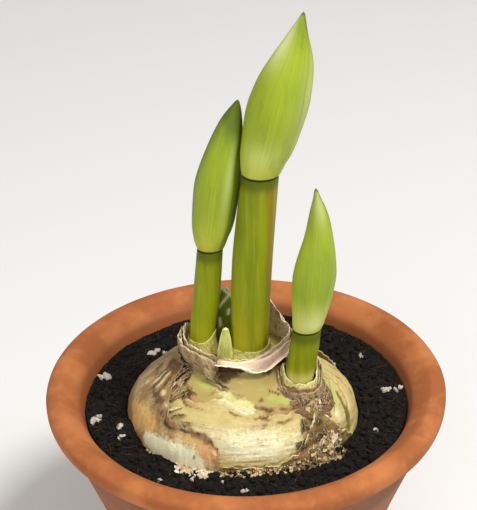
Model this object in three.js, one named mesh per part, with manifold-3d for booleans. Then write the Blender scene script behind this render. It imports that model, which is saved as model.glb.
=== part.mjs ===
// An amaryllis (Hippeastrum) bulb with three budding stalks in a wide terracotta pot.
// Millimetres, +Z up. Origin: centre of the pot's base. +X is right, -Y is the front.
// Every piece is one closed solid in its own named mesh.

import * as THREE from 'three';
import { mergeVertices } from 'three/addons/utils/BufferGeometryUtils.js';
import Module from 'manifold-3d';

const wasm = await Module();
wasm.setup();

// ---------------------------------------------------------------- driving dimensions

const GAP = 0.3; // clearance between two pieces that touch

// pot
const POT_HEIGHT = 100;
const RIM_RADIUS = 80;
const RIM_ROUND = 3.7; // rounding of the rim's outer edge
const RIM_DEPTH = 9.5; // from the crown down to the underside of the rim
const LIP_RADIUS = 65.2; // the rim's inner edge
const LIP_DROP = 5.5; // the inner edge lies this far below the crown
const NECK_RADIUS = 74.5; // body just under the rim
const BASE_RADIUS = 44;
const BASE_ROUND = 1.5;
const WALL = 7.5;
const FLOOR = 8;
const FLOOR_FILLET = 2; // between the inner wall and the floor
const OUTER_BELLY = [58.6, 50]; // the outer wall curves towards this radius and height
const INNER_BELLY = [52.5, 50]; // and the inner wall towards this one
const DRAIN_RADIUS = 8;
const POT_SIDES = 48;

// soil
const SOIL_TOP = POT_HEIGHT - 10.5;
const SOIL_CRUMB = 0.9; // height of the crumbs
const SOIL_TOP_RINGS = 7;
const SOIL_CORE = 34; // radius of its innermost ring, which lies inside the bulb
const SOIL_LEVELS = [10.5, 30, 50, 70, 86.5]; // heights at which it follows the pot's wall

// bulb: half-width at each height above (or below) the rim's crown
const BULB_X = -0.8;
const BULB_Y = -7;
const BULB_DEPTH = 0.86; // depth over width: it is wider than it is deep
const BULB_PROFILE = [
  [-46, 10], [-44, 19], [-38, 31], [-28, 40], [-18, 44.4], [-9, 45.6], [-2, 44.4],
  [5, 40.4], [11, 33.8], [15, 27], [17.4, 22],
];
const BULB_SIDES = 56;
const BULB_STEPS = 20;
const SCALE_STEP = 1.1; // each scale stands this far out over the one inside it
const SCALE_EDGES = [ // mean height, tilt towards an angle, waves round the bulb, raggedness
  { height: 14.6, tilt: -1.6, towards: -50, waves: 1, jag: 0.4 },
  { height: 8.6, tilt: 1.6, towards: -110, waves: 1, jag: 1 },
  { height: 1, tilt: 2, towards: 28, waves: 2, jag: 1 },
];
const NOSE = { x: -3.2, y: -6.6, halfWidth: 20.6, halfDepth: 12.8, foot: 17.9, top: 20.4 };

const ROOTS = 7;
const ROOT_LENGTH = 24;
const ROOT_RADIUS = 1.5;

// papery skins: edge heights counted from the rim's crown, by angle in degrees
const TUNIC_THICK = 0.8;
const SKIN_GAP = 0.5; // between the bulb and the skin that hugs it
const OUTER_TUNIC = {
  from: 16,
  to: 256.5,
  foot: -28,
  edge: [[10, -12], [16, -8], [26, 1], [40, 8], [65, 11], [100, 12.5], [133, 13], [165, 12.5], [190, 11],
    [219, 9], [229, 4.6], [242, 4.2], [251, 3.2], [256, 0], [262, -2]],
};
const NECK_TUNIC = {
  edge: [[0, 27], [18, 32], [36, 38.6], [52, 33], [75, 27], [110, 25], [145, 26], [163, 30],
    [180, 26], [200, 22.4], [240, 21.6], [270, 21], [295, 20.8], [325, 22.2], [345, 24.6]],
  flare: [[0, 0.6], [36, -0.3], [90, 0.8], [163, 1.6], [200, 2.6], [245, 4.2], [280, 4], [310, 1.8],
    [330, 0.9]],
};
const SIDE_TUNIC = {
  x: 20.9,
  y: -20,
  topRadius: 6.6,
  foot: [[0, 9.2], [60, 8.6], [100, 7.4], [140, 6.8], [180, 7.6], [225, 9], [270, 9.6], [315, 9.8]],
  edge: [[0, 20], [15, 23.5], [35, 19.5], [90, 19.5], [180, 18.4], [225, 16.6], [270, 15.6], [315, 15.6]],
};

// stalks: foot, top and radii, heights counted from the rim's crown
const STALK_DEPTH = 30; // how far a stalk reaches down between the scales
const STALKS = {
  tall: {
    foot: [1.6, -8, 19.6], top: [6.6, -8, 98.5], bow: -1.1,
    radii: [7.3, 7.6, 7.8, 7.5, 7.0],
  },
  left: {
    foot: [-17.6, -4.8, 20], top: [-12.8, -4, 64.5], bow: 0.4,
    radii: [4.9, 5.2, 5.3, 5.2, 5.0],
  },
  right: {
    foot: [20.4, -20, 15], top: [23.4, -20, 37.6], bow: 0.2,
    radii: [5.5, 5.7, 5.7, 5.7, 5.6],
  },
};

// buds: a centre line from the stalk's top to the tip, and [share of the length, half-width]
const BUDS = {
  tall: {
    line: [[6.7, -8, 98.8], [10.2, -8.4, 112], [15.2, -8.8, 134], [18.9, -8.6, 147.5], [22.5, -8, 163.4]],
    widths: [[0, 7.1], [0.05, 7.8], [0.14, 9.3], [0.28, 10.4], [0.43, 11], [0.56, 10.1], [0.66, 8.7],
      [0.76, 6.4], [0.84, 4.1], [0.92, 2.2], [0.97, 1.0], [1, 0.4]],
    depth: 0.86, seam: -57,
  },
  left: {
    line: [[-12.8, -4, 64.8], [-11.6, -4.2, 77], [-9.2, -4.2, 95], [-5.6, -4, 112], [-1.2, -3.6, 127.4]],
    widths: [[0, 4.9], [0.06, 5.7], [0.16, 6.9], [0.3, 7.5], [0.46, 7.8], [0.58, 7.0], [0.7, 5.8],
      [0.8, 4.6], [0.9, 3], [0.96, 1.5], [1, 0.4]],
    depth: 0.84, seam: -84,
  },
  right: {
    line: [[23.4, -20, 37.9], [24.4, -20.2, 48], [26, -20.4, 65], [27.4, -20.2, 82], [26.6, -19.6, 98.8]],
    widths: [[0, 5.4], [0.06, 5.7], [0.14, 6.1], [0.28, 6.9], [0.41, 7.3], [0.54, 6.3], [0.66, 4.8],
      [0.78, 3.4], [0.88, 2.1], [0.95, 1.1], [1, 0.5]],
    depth: 0.88, seam: 196,
  },
};
const BUD_SIDES = 20;
const BUD_STEPS = 15;
const VALVE_STEP = 0.45; // the outer valve's edge stands this far over the inner one

const STALK_SIDES = 16;
const STALK_STEPS = 6;
const STALK_FLATNESS = 0.93; // a stalk is a little flattened from front to back

// young leaf tips standing in slots in the nose, between the two middle stalks
const LEAVES = {
  dark: {
    x: -8.6, y: 1.4, low: 8, top: 44.5, width: 9, thick: 1.6, curl: -3, taper: 0.45, lean: 1, turn: 8,
  },
  pale: {
    x: -8.3, y: -12.6, low: 8, top: 31, width: 4.4, thick: 1.6, curl: 1, taper: 0.5, lean: 0.8, turn: 12,
  },
};
const LEAF_STEPS = 6;
const LEAF_SIDES = 10;

// white perlite grains on the soil: x, y and size
const PERLITE = [[-58, 19, 2.0], [-60, -10, 2.0], [-50.5, -18, 1.6], [-49.5, -23, 1.5], [-39, 36, 2.0],
  [57, 6.5, 1.6], [-33, -50.5, 1.2], [-1, -57, 1.2]];

const COLOURS = {
  terracotta: { color: 0xc4703c, roughness: 0.85 },
  soil: { color: 0x1f1c1b, roughness: 1.0 },
  flesh: { color: 0xe6dfb2, roughness: 0.6 },
  tunic: { color: 0x9a7448, roughness: 0.8 },
  paper: { color: 0xcdb6a2, roughness: 0.8 },
  stalk: { color: 0x869420, roughness: 0.45 },
  bud: { color: 0xa3c437, roughness: 0.45 },
  leaf: { color: 0x55752a, roughness: 0.5 },
};

const degrees = (angle) => THREE.MathUtils.degToRad(angle);
const { lerp, smoothstep, clamp } = THREE.MathUtils;

// ---------------------------------------------------------------- shared geometry

// Value in a table of [place, value] rows, with a smooth curve through the rows.
function tableCurve(rows) {
  const curve = new THREE.SplineCurve(rows.map(([place, value]) => new THREE.Vector2(place, value)));
  const samples = curve.getPoints(rows.length * 12);
  return (place) => {
    let i = 1;
    while (i < samples.length - 1 && samples[i].x < place) i += 1;
    const share = (place - samples[i - 1].x) / (samples[i].x - samples[i - 1].x);
    return lerp(samples[i - 1].y, samples[i].y, clamp(share, 0, 1));
  };
}

// Smooth noise in [-1, 1] over x and y, from three crossed waves.
function ripple(x, y, seed) {
  const a = Math.sin(x * 1.7 + y * 0.9 + seed * 1.3);
  const b = Math.sin(x * -0.8 + y * 2.1 + seed * 2.9);
  const c = Math.sin(x * 2.9 - y * 1.6 + seed * 4.7);
  return (a + b + c) / 3;
}

// A small repeatable random number generator.
function randomNumbers(seed) {
  let state = seed;
  return () => {
    state = (state * 1664525 + 1013904223) % 4294967296;
    return state / 4294967296;
  };
}

function geometryFrom(points, triangles) {
  const geometry = new THREE.BufferGeometry();
  geometry.setAttribute('position', new THREE.Float32BufferAttribute(points.flat(), 3));
  geometry.setIndex(triangles);
  return geometry;
}

// Closed solid through a stack of equal loops, each end closed to its own middle point.
// Loops run anticlockwise seen from the last one.
function loft(loops) {
  const sides = loops[0].length;
  const points = loops.flat();
  const triangles = [];
  for (let k = 0; k < loops.length - 1; k += 1) {
    for (let i = 0; i < sides; i += 1) {
      const a = k * sides + i;
      const b = k * sides + (i + 1) % sides;
      triangles.push(a, b, b + sides, a, b + sides, a + sides);
    }
  }
  const middle = (loop) => [0, 1, 2].map((axis) => loop.reduce((sum, p) => sum + p[axis], 0) / sides);
  const first = points.push(middle(loops[0])) - 1;
  const last = points.push(middle(loops[loops.length - 1])) - 1;
  const top = (loops.length - 1) * sides;
  for (let i = 0; i < sides; i += 1) {
    const next = (i + 1) % sides;
    triangles.push(first, next, i);
    triangles.push(last, top + i, top + next);
  }
  return geometryFrom(points, triangles);
}

// Closed sheet between an inner and an outer surface, both given at (u, v) in [0, 1].
// With ring set, u = 1 joins u = 0. u runs anticlockwise seen from above and v runs up.
function sheet(inner, outer, columns, rows, ring) {
  const points = [];
  const triangles = [];
  const across = ring ? columns : columns + 1;
  const place = (face, i, j) => face * across * (rows + 1) + j * across + (i % across);
  for (const surface of [inner, outer]) {
    for (let j = 0; j <= rows; j += 1) {
      for (let i = 0; i < across; i += 1) points.push(surface(i / columns, j / rows));
    }
  }
  const quad = (a, b, c, d) => triangles.push(a, b, c, a, c, d);
  for (let j = 0; j < rows; j += 1) {
    for (let i = 0; i < columns; i += 1) {
      quad(place(1, i, j), place(1, i + 1, j), place(1, i + 1, j + 1), place(1, i, j + 1));
      quad(place(0, i, j), place(0, i, j + 1), place(0, i + 1, j + 1), place(0, i + 1, j));
    }
  }
  for (let i = 0; i < columns; i += 1) {
    quad(place(0, i, 0), place(0, i + 1, 0), place(1, i + 1, 0), place(1, i, 0));
    quad(place(1, i, rows), place(1, i + 1, rows), place(0, i + 1, rows), place(0, i, rows));
  }
  for (let j = 0; j < rows && !ring; j += 1) {
    quad(place(1, 0, j), place(1, 0, j + 1), place(0, 0, j + 1), place(0, 0, j));
    quad(place(0, columns, j), place(0, columns, j + 1), place(1, columns, j + 1), place(1, columns, j));
  }
  return geometryFrom(points, triangles);
}

function toManifold(geometry) {
  const bare = geometry.clone();
  bare.deleteAttribute('normal');
  bare.deleteAttribute('uv');
  const merged = mergeVertices(bare, 1e-4);
  return new wasm.Manifold(new wasm.Mesh({
    numProp: 3,
    vertProperties: new Float32Array(merged.attributes.position.array),
    triVerts: new Uint32Array(merged.index.array),
  }));
}

function fromManifold(solid) {
  const mesh = solid.getMesh();
  const geometry = new THREE.BufferGeometry();
  geometry.setAttribute('position', new THREE.BufferAttribute(new Float32Array(mesh.vertProperties), 3));
  geometry.setIndex(new THREE.BufferAttribute(new Uint32Array(mesh.triVerts), 1));
  return geometry;
}

const join = (geometry, others) =>
  fromManifold(others.reduce((solid, other) => solid.add(toManifold(other)), toManifold(geometry)));

const cut = (geometry, tools) =>
  fromManifold(tools.reduce((solid, tool) => solid.subtract(toManifold(tool)), toManifold(geometry)));

// Loops of a round rod along a centre line, with a radius for each share of its length.
function rodLoops(line, radiusAt, sides, steps) {
  const frames = line.computeFrenetFrames(steps, false);
  const loops = [];
  for (let k = 0; k <= steps; k += 1) {
    const centre = line.getPointAt(k / steps);
    const radius = radiusAt(k / steps);
    loops.push(Array.from({ length: sides }, (_, i) => {
      const angle = (2 * Math.PI * i) / sides;
      return centre.clone()
        .addScaledVector(frames.normals[k], radius * Math.cos(angle))
        .addScaledVector(frames.binormals[k], radius * Math.sin(angle))
        .toArray();
    }));
  }
  return loops;
}

// ---------------------------------------------------------------- pot

// The pot's inner wall, from the lip down to the floor.
const insideCurve = new THREE.QuadraticBezierCurve(
  new THREE.Vector2(LIP_RADIUS, POT_HEIGHT - LIP_DROP),
  new THREE.Vector2(...INNER_BELLY),
  new THREE.Vector2(BASE_RADIUS - WALL, FLOOR + FLOOR_FILLET),
);

function potProfile() {
  const path = new THREE.Path();
  const crown = RIM_RADIUS - 2 * RIM_ROUND;
  path.moveTo(DRAIN_RADIUS, 0);
  path.lineTo(BASE_RADIUS - BASE_ROUND, 0);
  path.lineTo(BASE_RADIUS, BASE_ROUND);
  path.quadraticCurveTo(...OUTER_BELLY, NECK_RADIUS, POT_HEIGHT - RIM_DEPTH - 2);
  path.lineTo(NECK_RADIUS + 1.5, POT_HEIGHT - RIM_DEPTH);
  path.quadraticCurveTo(RIM_RADIUS, POT_HEIGHT - RIM_DEPTH + 1, RIM_RADIUS, POT_HEIGHT - RIM_ROUND);
  path.quadraticCurveTo(RIM_RADIUS, POT_HEIGHT, crown, POT_HEIGHT);
  path.quadraticCurveTo(LIP_RADIUS + 1.5, POT_HEIGHT - 0.6, LIP_RADIUS, POT_HEIGHT - LIP_DROP);
  path.quadraticCurveTo(insideCurve.v1.x, insideCurve.v1.y, insideCurve.v2.x, insideCurve.v2.y);
  path.lineTo(BASE_RADIUS - WALL - FLOOR_FILLET, FLOOR);
  path.lineTo(DRAIN_RADIUS, FLOOR);
  path.closePath();
  return path.getPoints(3);
}

function makePot() {
  const geometry = new THREE.LatheGeometry(potProfile(), POT_SIDES);
  geometry.rotateX(Math.PI / 2);
  return geometry;
}

// ---------------------------------------------------------------- bulb surface

// The bulb's outline from its basal plate up to its shoulder, half-width against height.
const bulbOutline = new THREE.SplineCurve(
  BULB_PROFILE.map(([height, width]) => new THREE.Vector2(width, height)),
);
const outlineSamples = bulbOutline.getSpacedPoints(120);

// Share of the outline's length at which it reaches a height.
function shareAtHeight(height) {
  let i = 1;
  while (i < outlineSamples.length - 1 && outlineSamples[i].y < height) i += 1;
  const before = outlineSamples[i - 1];
  const part = clamp((height - before.y) / (outlineSamples[i].y - before.y), 0, 1);
  return (i - 1 + part) / (outlineSamples.length - 1);
}

// The bulb's level sections are ovals. Towards the top they shift and flatten into the nose's oval.
function ovalAt(height) {
  const nose = smoothstep(height, 10, 18);
  return {
    x: lerp(BULB_X, NOSE.x, nose),
    y: lerp(BULB_Y, NOSE.y, nose),
    depth: lerp(BULB_DEPTH, NOSE.halfDepth / NOSE.halfWidth, nose),
  };
}

function ringPoint(angle, radius, height) {
  const oval = ovalAt(height);
  const x = oval.x + radius * Math.cos(angle);
  const y = oval.y + radius * oval.depth * Math.sin(angle);
  return [x, y, POT_HEIGHT + height];
}

// Point on the bulb at an angle and a share of its outline, moved out along its normal.
function bulbPoint(angle, share, out) {
  const place = bulbOutline.getPointAt(share);
  const along = bulbOutline.getTangentAt(share);
  return ringPoint(angle, place.x + out * along.y, place.y - out * along.x);
}

// Each fleshy scale ends in a torn edge, and above it the surface is one step further in.
function scaleRelief(angle, height) {
  const ragged = 0.8 * Math.sin(angle * 7 + 1) + 0.6 * Math.sin(angle * 17 + 2);
  const steps = SCALE_EDGES.reduce((sum, scale) => {
    const wave = Math.cos(scale.waves * (angle - degrees(scale.towards)));
    const edge = scale.height + scale.tilt * wave + scale.jag * ragged;
    return sum + smoothstep(height, edge - 0.4, edge + 0.5);
  }, 0);
  const folds = 0.25 * Math.sin(angle * 11 + height * 0.15) * smoothstep(height, -12, 0);
  return -SCALE_STEP * steps - 0.25 + folds;
}

// Height of the bulb's upper surface, without its relief, over a point of the plan.
function bulbHeight(x, y) {
  let share = 1;
  let place = bulbOutline.getPointAt(share);
  const reach = (oval) => Math.hypot(x - oval.x, (y - oval.y) / oval.depth);
  while (share > 0.5 && place.x < reach(ovalAt(place.y))) {
    share -= 0.005;
    place = bulbOutline.getPointAt(share);
  }
  return POT_HEIGHT + place.y;
}

function bulbLoops(out, withRelief) {
  const loops = [];
  for (let k = 0; k <= BULB_STEPS; k += 1) {
    const share = (k / BULB_STEPS) ** 0.8;
    const height = bulbOutline.getPointAt(share).y;
    loops.push(Array.from({ length: BULB_SIDES }, (_, i) => {
      const angle = (2 * Math.PI * i) / BULB_SIDES;
      const [x, y] = bulbPoint(angle, share, 0);
      const besideNose = smoothstep(Math.hypot(x - SIDE_TUNIC.x, y - SIDE_TUNIC.y), 10.5, 15);
      const relief = withRelief && share < 0.97 ? scaleRelief(angle, height) * besideNose : 0;
      return bulbPoint(angle, share, out + relief * smoothstep(height, -14, -6));
    }));
  }
  const oval = (extra, height) => Array.from({ length: BULB_SIDES }, (_, i) =>
    ringPoint((2 * Math.PI * i) / BULB_SIDES, NOSE.halfWidth + extra, height));
  loops.push(oval(0.2, NOSE.foot));
  loops.push(oval(0, NOSE.foot + 0.6));
  loops.push(oval(0, NOSE.top - 0.8));
  loops.push(oval(-1, NOSE.top));
  return loops;
}

// Stout roots fan out from the basal plate, down into the soil.
function rootSolids(extra) {
  const random = randomNumbers(11);
  return Array.from({ length: ROOTS }, (_, i) => {
    const angle = (2 * Math.PI * (i + 0.5 * random())) / ROOTS;
    const spread = (radius, height) => new THREE.Vector3(...ringPoint(angle, radius, height));
    const low = BULB_PROFILE[0][0];
    const reach = ROOT_LENGTH * (0.8 + 0.4 * random());
    const line = new THREE.CatmullRomCurve3([
      spread(9, low + 4), spread(12, low - 3), spread(12 + 0.35 * reach, low - 0.55 * reach),
      spread(13 + 0.55 * reach, low - reach),
    ]);
    return loft(rodLoops(line, (share) => lerp(ROOT_RADIUS, 0.6, share) + extra, 6, 5));
  });
}

function makeBulb() {
  const body = join(loft(bulbLoops(0, true)), rootSolids(0));
  const sockets = Object.values(STALKS).map((stalk) => stalkSolid(stalk, GAP));
  const slots = Object.values(LEAVES).map((leaf) => leafSolid(leaf, GAP));
  return cut(body, [...sockets, ...slots]);
}

// ---------------------------------------------------------------- soil

function insideRadius(z) {
  const points = insideCurve.getPoints(40);
  let i = 1;
  while (i < points.length - 1 && points[i].y > z) i += 1;
  return lerp(points[i - 1].x, points[i].x, (points[i - 1].y - z) / (points[i - 1].y - points[i].y));
}

function soilHeight(x, y) {
  const clods = ripple(x * 0.55, y * 0.55, 1);
  const crumbs = ripple(x * 1.3, y * 1.2, 5);
  return SOIL_TOP + SOIL_CRUMB * (clods + 0.5 * crumbs);
}

function makeSoil() {
  const ring = (radius, height) => Array.from({ length: POT_SIDES }, (_, i) => {
    const angle = (2 * Math.PI * i) / POT_SIDES;
    const x = radius * Math.cos(angle);
    const y = radius * Math.sin(angle);
    return [x, y, height ?? soilHeight(x, y)];
  });
  const loops = [ring(insideCurve.v2.x - FLOOR_FILLET - GAP, FLOOR + GAP)];
  for (const z of SOIL_LEVELS) loops.push(ring(insideRadius(z) - GAP, z));
  const edge = insideRadius(SOIL_TOP) - 2 * GAP;
  for (let k = 0; k < SOIL_TOP_RINGS; k += 1) {
    loops.push(ring(lerp(edge, SOIL_CORE, k / (SOIL_TOP_RINGS - 1))));
  }
  const perlite = PERLITE.map(([x, y, size]) => {
    const grain = new THREE.IcosahedronGeometry(size, 0);
    grain.scale(1, 0.8, 0.7);
    grain.rotateZ(x);
    grain.translate(x, y, soilHeight(x, y) + 0.2 * size);
    return grain;
  });
  const clearances = [loft(bulbLoops(GAP, false)), ...rootSolids(GAP), outerTunic(GAP)];
  return cut(join(loft(loops), perlite), clearances);
}

// ---------------------------------------------------------------- papery tunics

const wrap = (rows) => tableCurve([
  ...rows.slice(-2).map(([angle, value]) => [angle - 360, value]),
  ...rows,
  ...rows.slice(0, 2).map(([angle, value]) => [angle + 360, value]),
]);

// The brown outer skin hugs the left and the back of the bulb and ends in a torn edge.
function outerTunic(extra) {
  const top = tableCurve(OUTER_TUNIC.edge);
  const margin = degrees(extra * 1.2);
  const surface = (out) => (u, v) => {
    const angle = lerp(degrees(OUTER_TUNIC.from) - margin, degrees(OUTER_TUNIC.to) + margin, u);
    const tear = 0.7 * Math.sin(angle * 23) + 0.5 * Math.sin(angle * 41 + 1);
    const height = lerp(OUTER_TUNIC.foot - extra, top(THREE.MathUtils.radToDeg(angle)) + tear + extra, v);
    return bulbPoint(angle, shareAtHeight(height), out);
  };
  const inner = extra > 0 ? -GAP : SKIN_GAP;
  return sheet(surface(inner), surface(SKIN_GAP + TUNIC_THICK + extra), 38, 6, false);
}

// The torn ring of old leaf bases round the nose: it folds out at the front and stands up behind.
function neckTunic() {
  const edge = wrap(NECK_TUNIC.edge);
  const flare = wrap(NECK_TUNIC.flare);
  const surface = (out) => (u, v) => {
    const angle = 2 * Math.PI * u;
    const turn = (u * 360) % 360;
    const tear = 0.35 * Math.sin(angle * 19) + 0.3 * Math.sin(angle * 31 + 2);
    const rim = edge(turn) + tear - (out > 1 ? 0.3 * flare(turn) : 0);
    const bow = Math.max(0, v - 0.35) / 0.65;
    const radius = NOSE.halfWidth + out + flare(turn) * bow ** 1.4;
    const height = lerp(NOSE.foot + 0.5, rim, v < 0.5 ? v * 0.9 : lerp(0.45, 1, (v - 0.5) * 2));
    return ringPoint(angle, radius, height);
  };
  return sheet(surface(GAP), surface(GAP + TUNIC_THICK + 0.3), 46, 4, true);
}

// The low torn ring round the right stalk, standing on the bulb's shoulder.
function sideTunic() {
  const edge = wrap(SIDE_TUNIC.edge);
  const foot = wrap(SIDE_TUNIC.foot);
  const surface = (out) => (u, v) => {
    const angle = 2 * Math.PI * u;
    const turn = (u * 360) % 360;
    const tear = 0.4 * Math.sin(angle * 13) + 0.3 * Math.sin(angle * 21 + 1);
    const radius = lerp(foot(turn), SIDE_TUNIC.topRadius, v) + out;
    const x = SIDE_TUNIC.x + radius * Math.cos(angle);
    const y = SIDE_TUNIC.y + radius * 0.9 * Math.sin(angle);
    return [x, y, lerp(bulbHeight(x, y) + 2 * GAP, POT_HEIGHT + edge(turn) + tear, v)];
  };
  return sheet(surface(0), surface(TUNIC_THICK + 0.2), 30, 3, true);
}

// ---------------------------------------------------------------- stalks, buds and leaves

// Upright body with level sections, evenly spaced in height along a centre line of [x, y, height]
// points. sectionAt gives a section's outline for its share of the height and an angle.
function uprightSolid(line, steps, sides, sectionAt) {
  const low = line[0][2];
  const high = line[line.length - 1][2];
  const xAt = tableCurve(line.map(([x, , height]) => [height, x]));
  const yAt = tableCurve(line.map(([, y, height]) => [height, y]));
  const loops = Array.from({ length: steps + 1 }, (_, k) => {
    const height = lerp(low, high, k / steps);
    return Array.from({ length: sides }, (__, i) => {
      const [x, y] = sectionAt(k / steps, (2 * Math.PI * i) / sides);
      return [xAt(height) + x, yAt(height) + y, POT_HEIGHT + height];
    });
  });
  return loft(loops);
}

// A stalk reaches down between the scales below its foot and bows a little above it.
function stalkSolid(stalk, extra) {
  const [footX, footY, footZ] = stalk.foot;
  const [topX, topY, topZ] = stalk.top;
  const rise = topZ - footZ;
  const down = STALK_DEPTH + extra;
  const leanX = (topX - footX) / rise;
  const leanY = (topY - footY) / rise;
  const deep = [footX - down * leanX, footY - down * leanY, footZ - down];
  const middle = [(footX + topX) / 2 + stalk.bow, (footY + topY) / 2, (footZ + topZ) / 2];
  const footShare = STALK_DEPTH / (STALK_DEPTH + rise);
  const last = stalk.radii.length - 1;
  const radiusAt = tableCurve([
    [0, stalk.radii[0]],
    ...stalk.radii.map((radius, i) => [lerp(footShare, 1, i / last), radius]),
  ]);
  return uprightSolid([deep, stalk.foot, middle, stalk.top], STALK_STEPS, STALK_SIDES, (share, angle) => {
    const radius = radiusAt(share) + extra;
    return [radius * Math.cos(angle), radius * STALK_FLATNESS * Math.sin(angle)];
  });
}

// A closed bud: two valves round it, the outer one's edge standing over the inner one's.
function budSolid(bud) {
  const widthAt = tableCurve(bud.widths);
  const seam = degrees(bud.seam);
  return uprightSolid(bud.line, BUD_STEPS, BUD_SIDES, (share, angle) => {
    const round = angle - seam;
    const fade = smoothstep(share, 0.02, 0.2) * (1 - smoothstep(share, 0.8, 0.98));
    const outer = Math.sin(round + 0.001) > 0 ? VALVE_STEP : 0;
    const keel = 0.05 * Math.abs(Math.cos(round)) ** 10;
    const radius = widthAt(share) * (1 + keel * fade) + outer * fade;
    return [radius * Math.cos(angle), radius * bud.depth * Math.sin(angle)];
  });
}

// A strap leaf's tip, standing in its slot in the nose.
function leafSolid(leaf, extra) {
  const turn = degrees(leaf.turn);
  const line = [[leaf.x, leaf.y, leaf.low - extra], [leaf.x + leaf.lean, leaf.y, leaf.top]];
  return uprightSolid(line, LEAF_STEPS, LEAF_SIDES, (share, angle) => {
    const taper = Math.sqrt(clamp((1.04 - share) / leaf.taper, 0, 1));
    const across = (0.5 * leaf.width * taper + extra) * Math.cos(angle);
    const curl = leaf.curl * (across / leaf.width) ** 2;
    const through = (0.5 * leaf.thick * Math.sqrt(taper) + extra) * Math.sin(angle) + curl;
    return [
      across * Math.cos(turn) - through * Math.sin(turn),
      across * Math.sin(turn) + through * Math.cos(turn),
    ];
  });
}

// ---------------------------------------------------------------- assembly

function addPiece(group, name, geometry, look) {
  const mesh = new THREE.Mesh(geometry, new THREE.MeshStandardMaterial({ ...COLOURS[look], metalness: 0 }));
  mesh.name = name;
  group.add(mesh);
}

const amaryllis = new THREE.Group();
addPiece(amaryllis, 'terracotta_pot', makePot(), 'terracotta');
addPiece(amaryllis, 'potting_soil', makeSoil(), 'soil');

const plant = new THREE.Group();
addPiece(plant, 'bulb', makeBulb(), 'flesh');
addPiece(plant, 'outer_tunic', outerTunic(0), 'tunic');
addPiece(plant, 'neck_tunic', neckTunic(), 'paper');
addPiece(plant, 'side_tunic', sideTunic(), 'paper');
for (const side of ['tall', 'left', 'right']) {
  addPiece(plant, `flower_stalk_${side}`, stalkSolid(STALKS[side], 0), 'stalk');
  addPiece(plant, `flower_bud_${side}`, budSolid(BUDS[side]), 'bud');
}
for (const [name, leaf] of Object.entries(LEAVES)) {
  addPiece(plant, `young_leaf_${name}`, leafSolid(leaf, 0), 'leaf');
}
amaryllis.add(plant);

export default amaryllis;
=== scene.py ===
"""An amaryllis bulb with three budding stalks, planted half out of dark soil in a terracotta pot."""

import math
import random

import bpy
from mathutils import Matrix, Vector, noise


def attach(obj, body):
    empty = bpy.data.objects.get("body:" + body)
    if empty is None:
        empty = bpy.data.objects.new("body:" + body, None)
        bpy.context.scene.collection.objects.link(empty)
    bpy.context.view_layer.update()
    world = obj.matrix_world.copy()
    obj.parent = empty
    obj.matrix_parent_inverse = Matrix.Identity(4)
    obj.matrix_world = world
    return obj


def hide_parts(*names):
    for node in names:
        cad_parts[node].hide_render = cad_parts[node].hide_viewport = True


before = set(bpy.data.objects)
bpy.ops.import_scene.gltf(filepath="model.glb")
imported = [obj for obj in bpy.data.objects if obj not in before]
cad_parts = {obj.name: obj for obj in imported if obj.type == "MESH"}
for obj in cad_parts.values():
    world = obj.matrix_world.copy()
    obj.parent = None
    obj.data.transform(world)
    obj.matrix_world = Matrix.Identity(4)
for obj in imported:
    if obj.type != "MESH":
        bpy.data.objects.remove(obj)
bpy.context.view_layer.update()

# ---------------------------------------------------------------- camera
# A long lens looks down at the plant from in front, turned a hair off level.

CAMERA_PLACE = Vector((-0.0020, -0.6150, 0.5323))
CAMERA_TILT = 58.748  # degrees up from straight down
CAMERA_ROLL = -1.064
LENS = 132.45

bpy.ops.object.camera_add(location=CAMERA_PLACE)
camera = bpy.context.object
camera.matrix_world = (
    Matrix.Translation(CAMERA_PLACE)
    @ Matrix.Rotation(math.radians(CAMERA_TILT), 4, "X")
    @ Matrix.Rotation(math.radians(CAMERA_ROLL), 4, "Z")
)
camera.data.lens = LENS
camera.data.sensor_width = 36
bpy.context.scene.camera = camera

# ---------------------------------------------------------------- table and daylight
# A plain pale table under soft daylight: a window high on the right, a broad and weaker one in
# front on the left, and a pale room all round.

TABLE_SIZE = 12
TABLE_COLOUR = (0.80, 0.79, 0.77, 1)
ROOM_COLOUR = (1.0, 0.99, 0.97, 1)
ROOM_STRENGTH = 0.43
WINDOWS = [  # name, place, width, power
    ("window_right", (0.5, -0.3, 1.3), 0.4, 17),
    ("window_left", (-0.5, -1.2, 0.9), 1.3, 8.5),
]

bpy.ops.mesh.primitive_plane_add(size=TABLE_SIZE)
table = bpy.context.object
table.name = "table"
table_paint = bpy.data.materials.new("pale_table")
table_paint.use_nodes = True
table_paint.node_tree.nodes["Principled BSDF"].inputs["Base Color"].default_value = TABLE_COLOUR
table_paint.node_tree.nodes["Principled BSDF"].inputs["Roughness"].default_value = 0.7
table.data.materials.append(table_paint)

room = bpy.data.worlds.new("pale_room")
room.use_nodes = True
room.node_tree.nodes["Background"].inputs["Color"].default_value = ROOM_COLOUR
room.node_tree.nodes["Background"].inputs["Strength"].default_value = ROOM_STRENGTH
bpy.context.scene.world = room
bpy.context.scene.view_settings.view_transform = "Standard"

for name, place, width, power in WINDOWS:
    bpy.ops.object.light_add(type="AREA", location=place)
    window = bpy.context.object
    window.name = name
    window.data.size = width
    window.data.energy = power
    window.rotation_euler = (Vector((0, 0, 0.1)) - Vector(place)).to_track_quat("-Z", "Y").to_euler()

# ---------------------------------------------------------------- pot
# One piece of fired, unglazed terracotta, turned on a wheel, with a thick crowned rim that
# slopes in to its lip. A hole in the floor lets water out.

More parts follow.
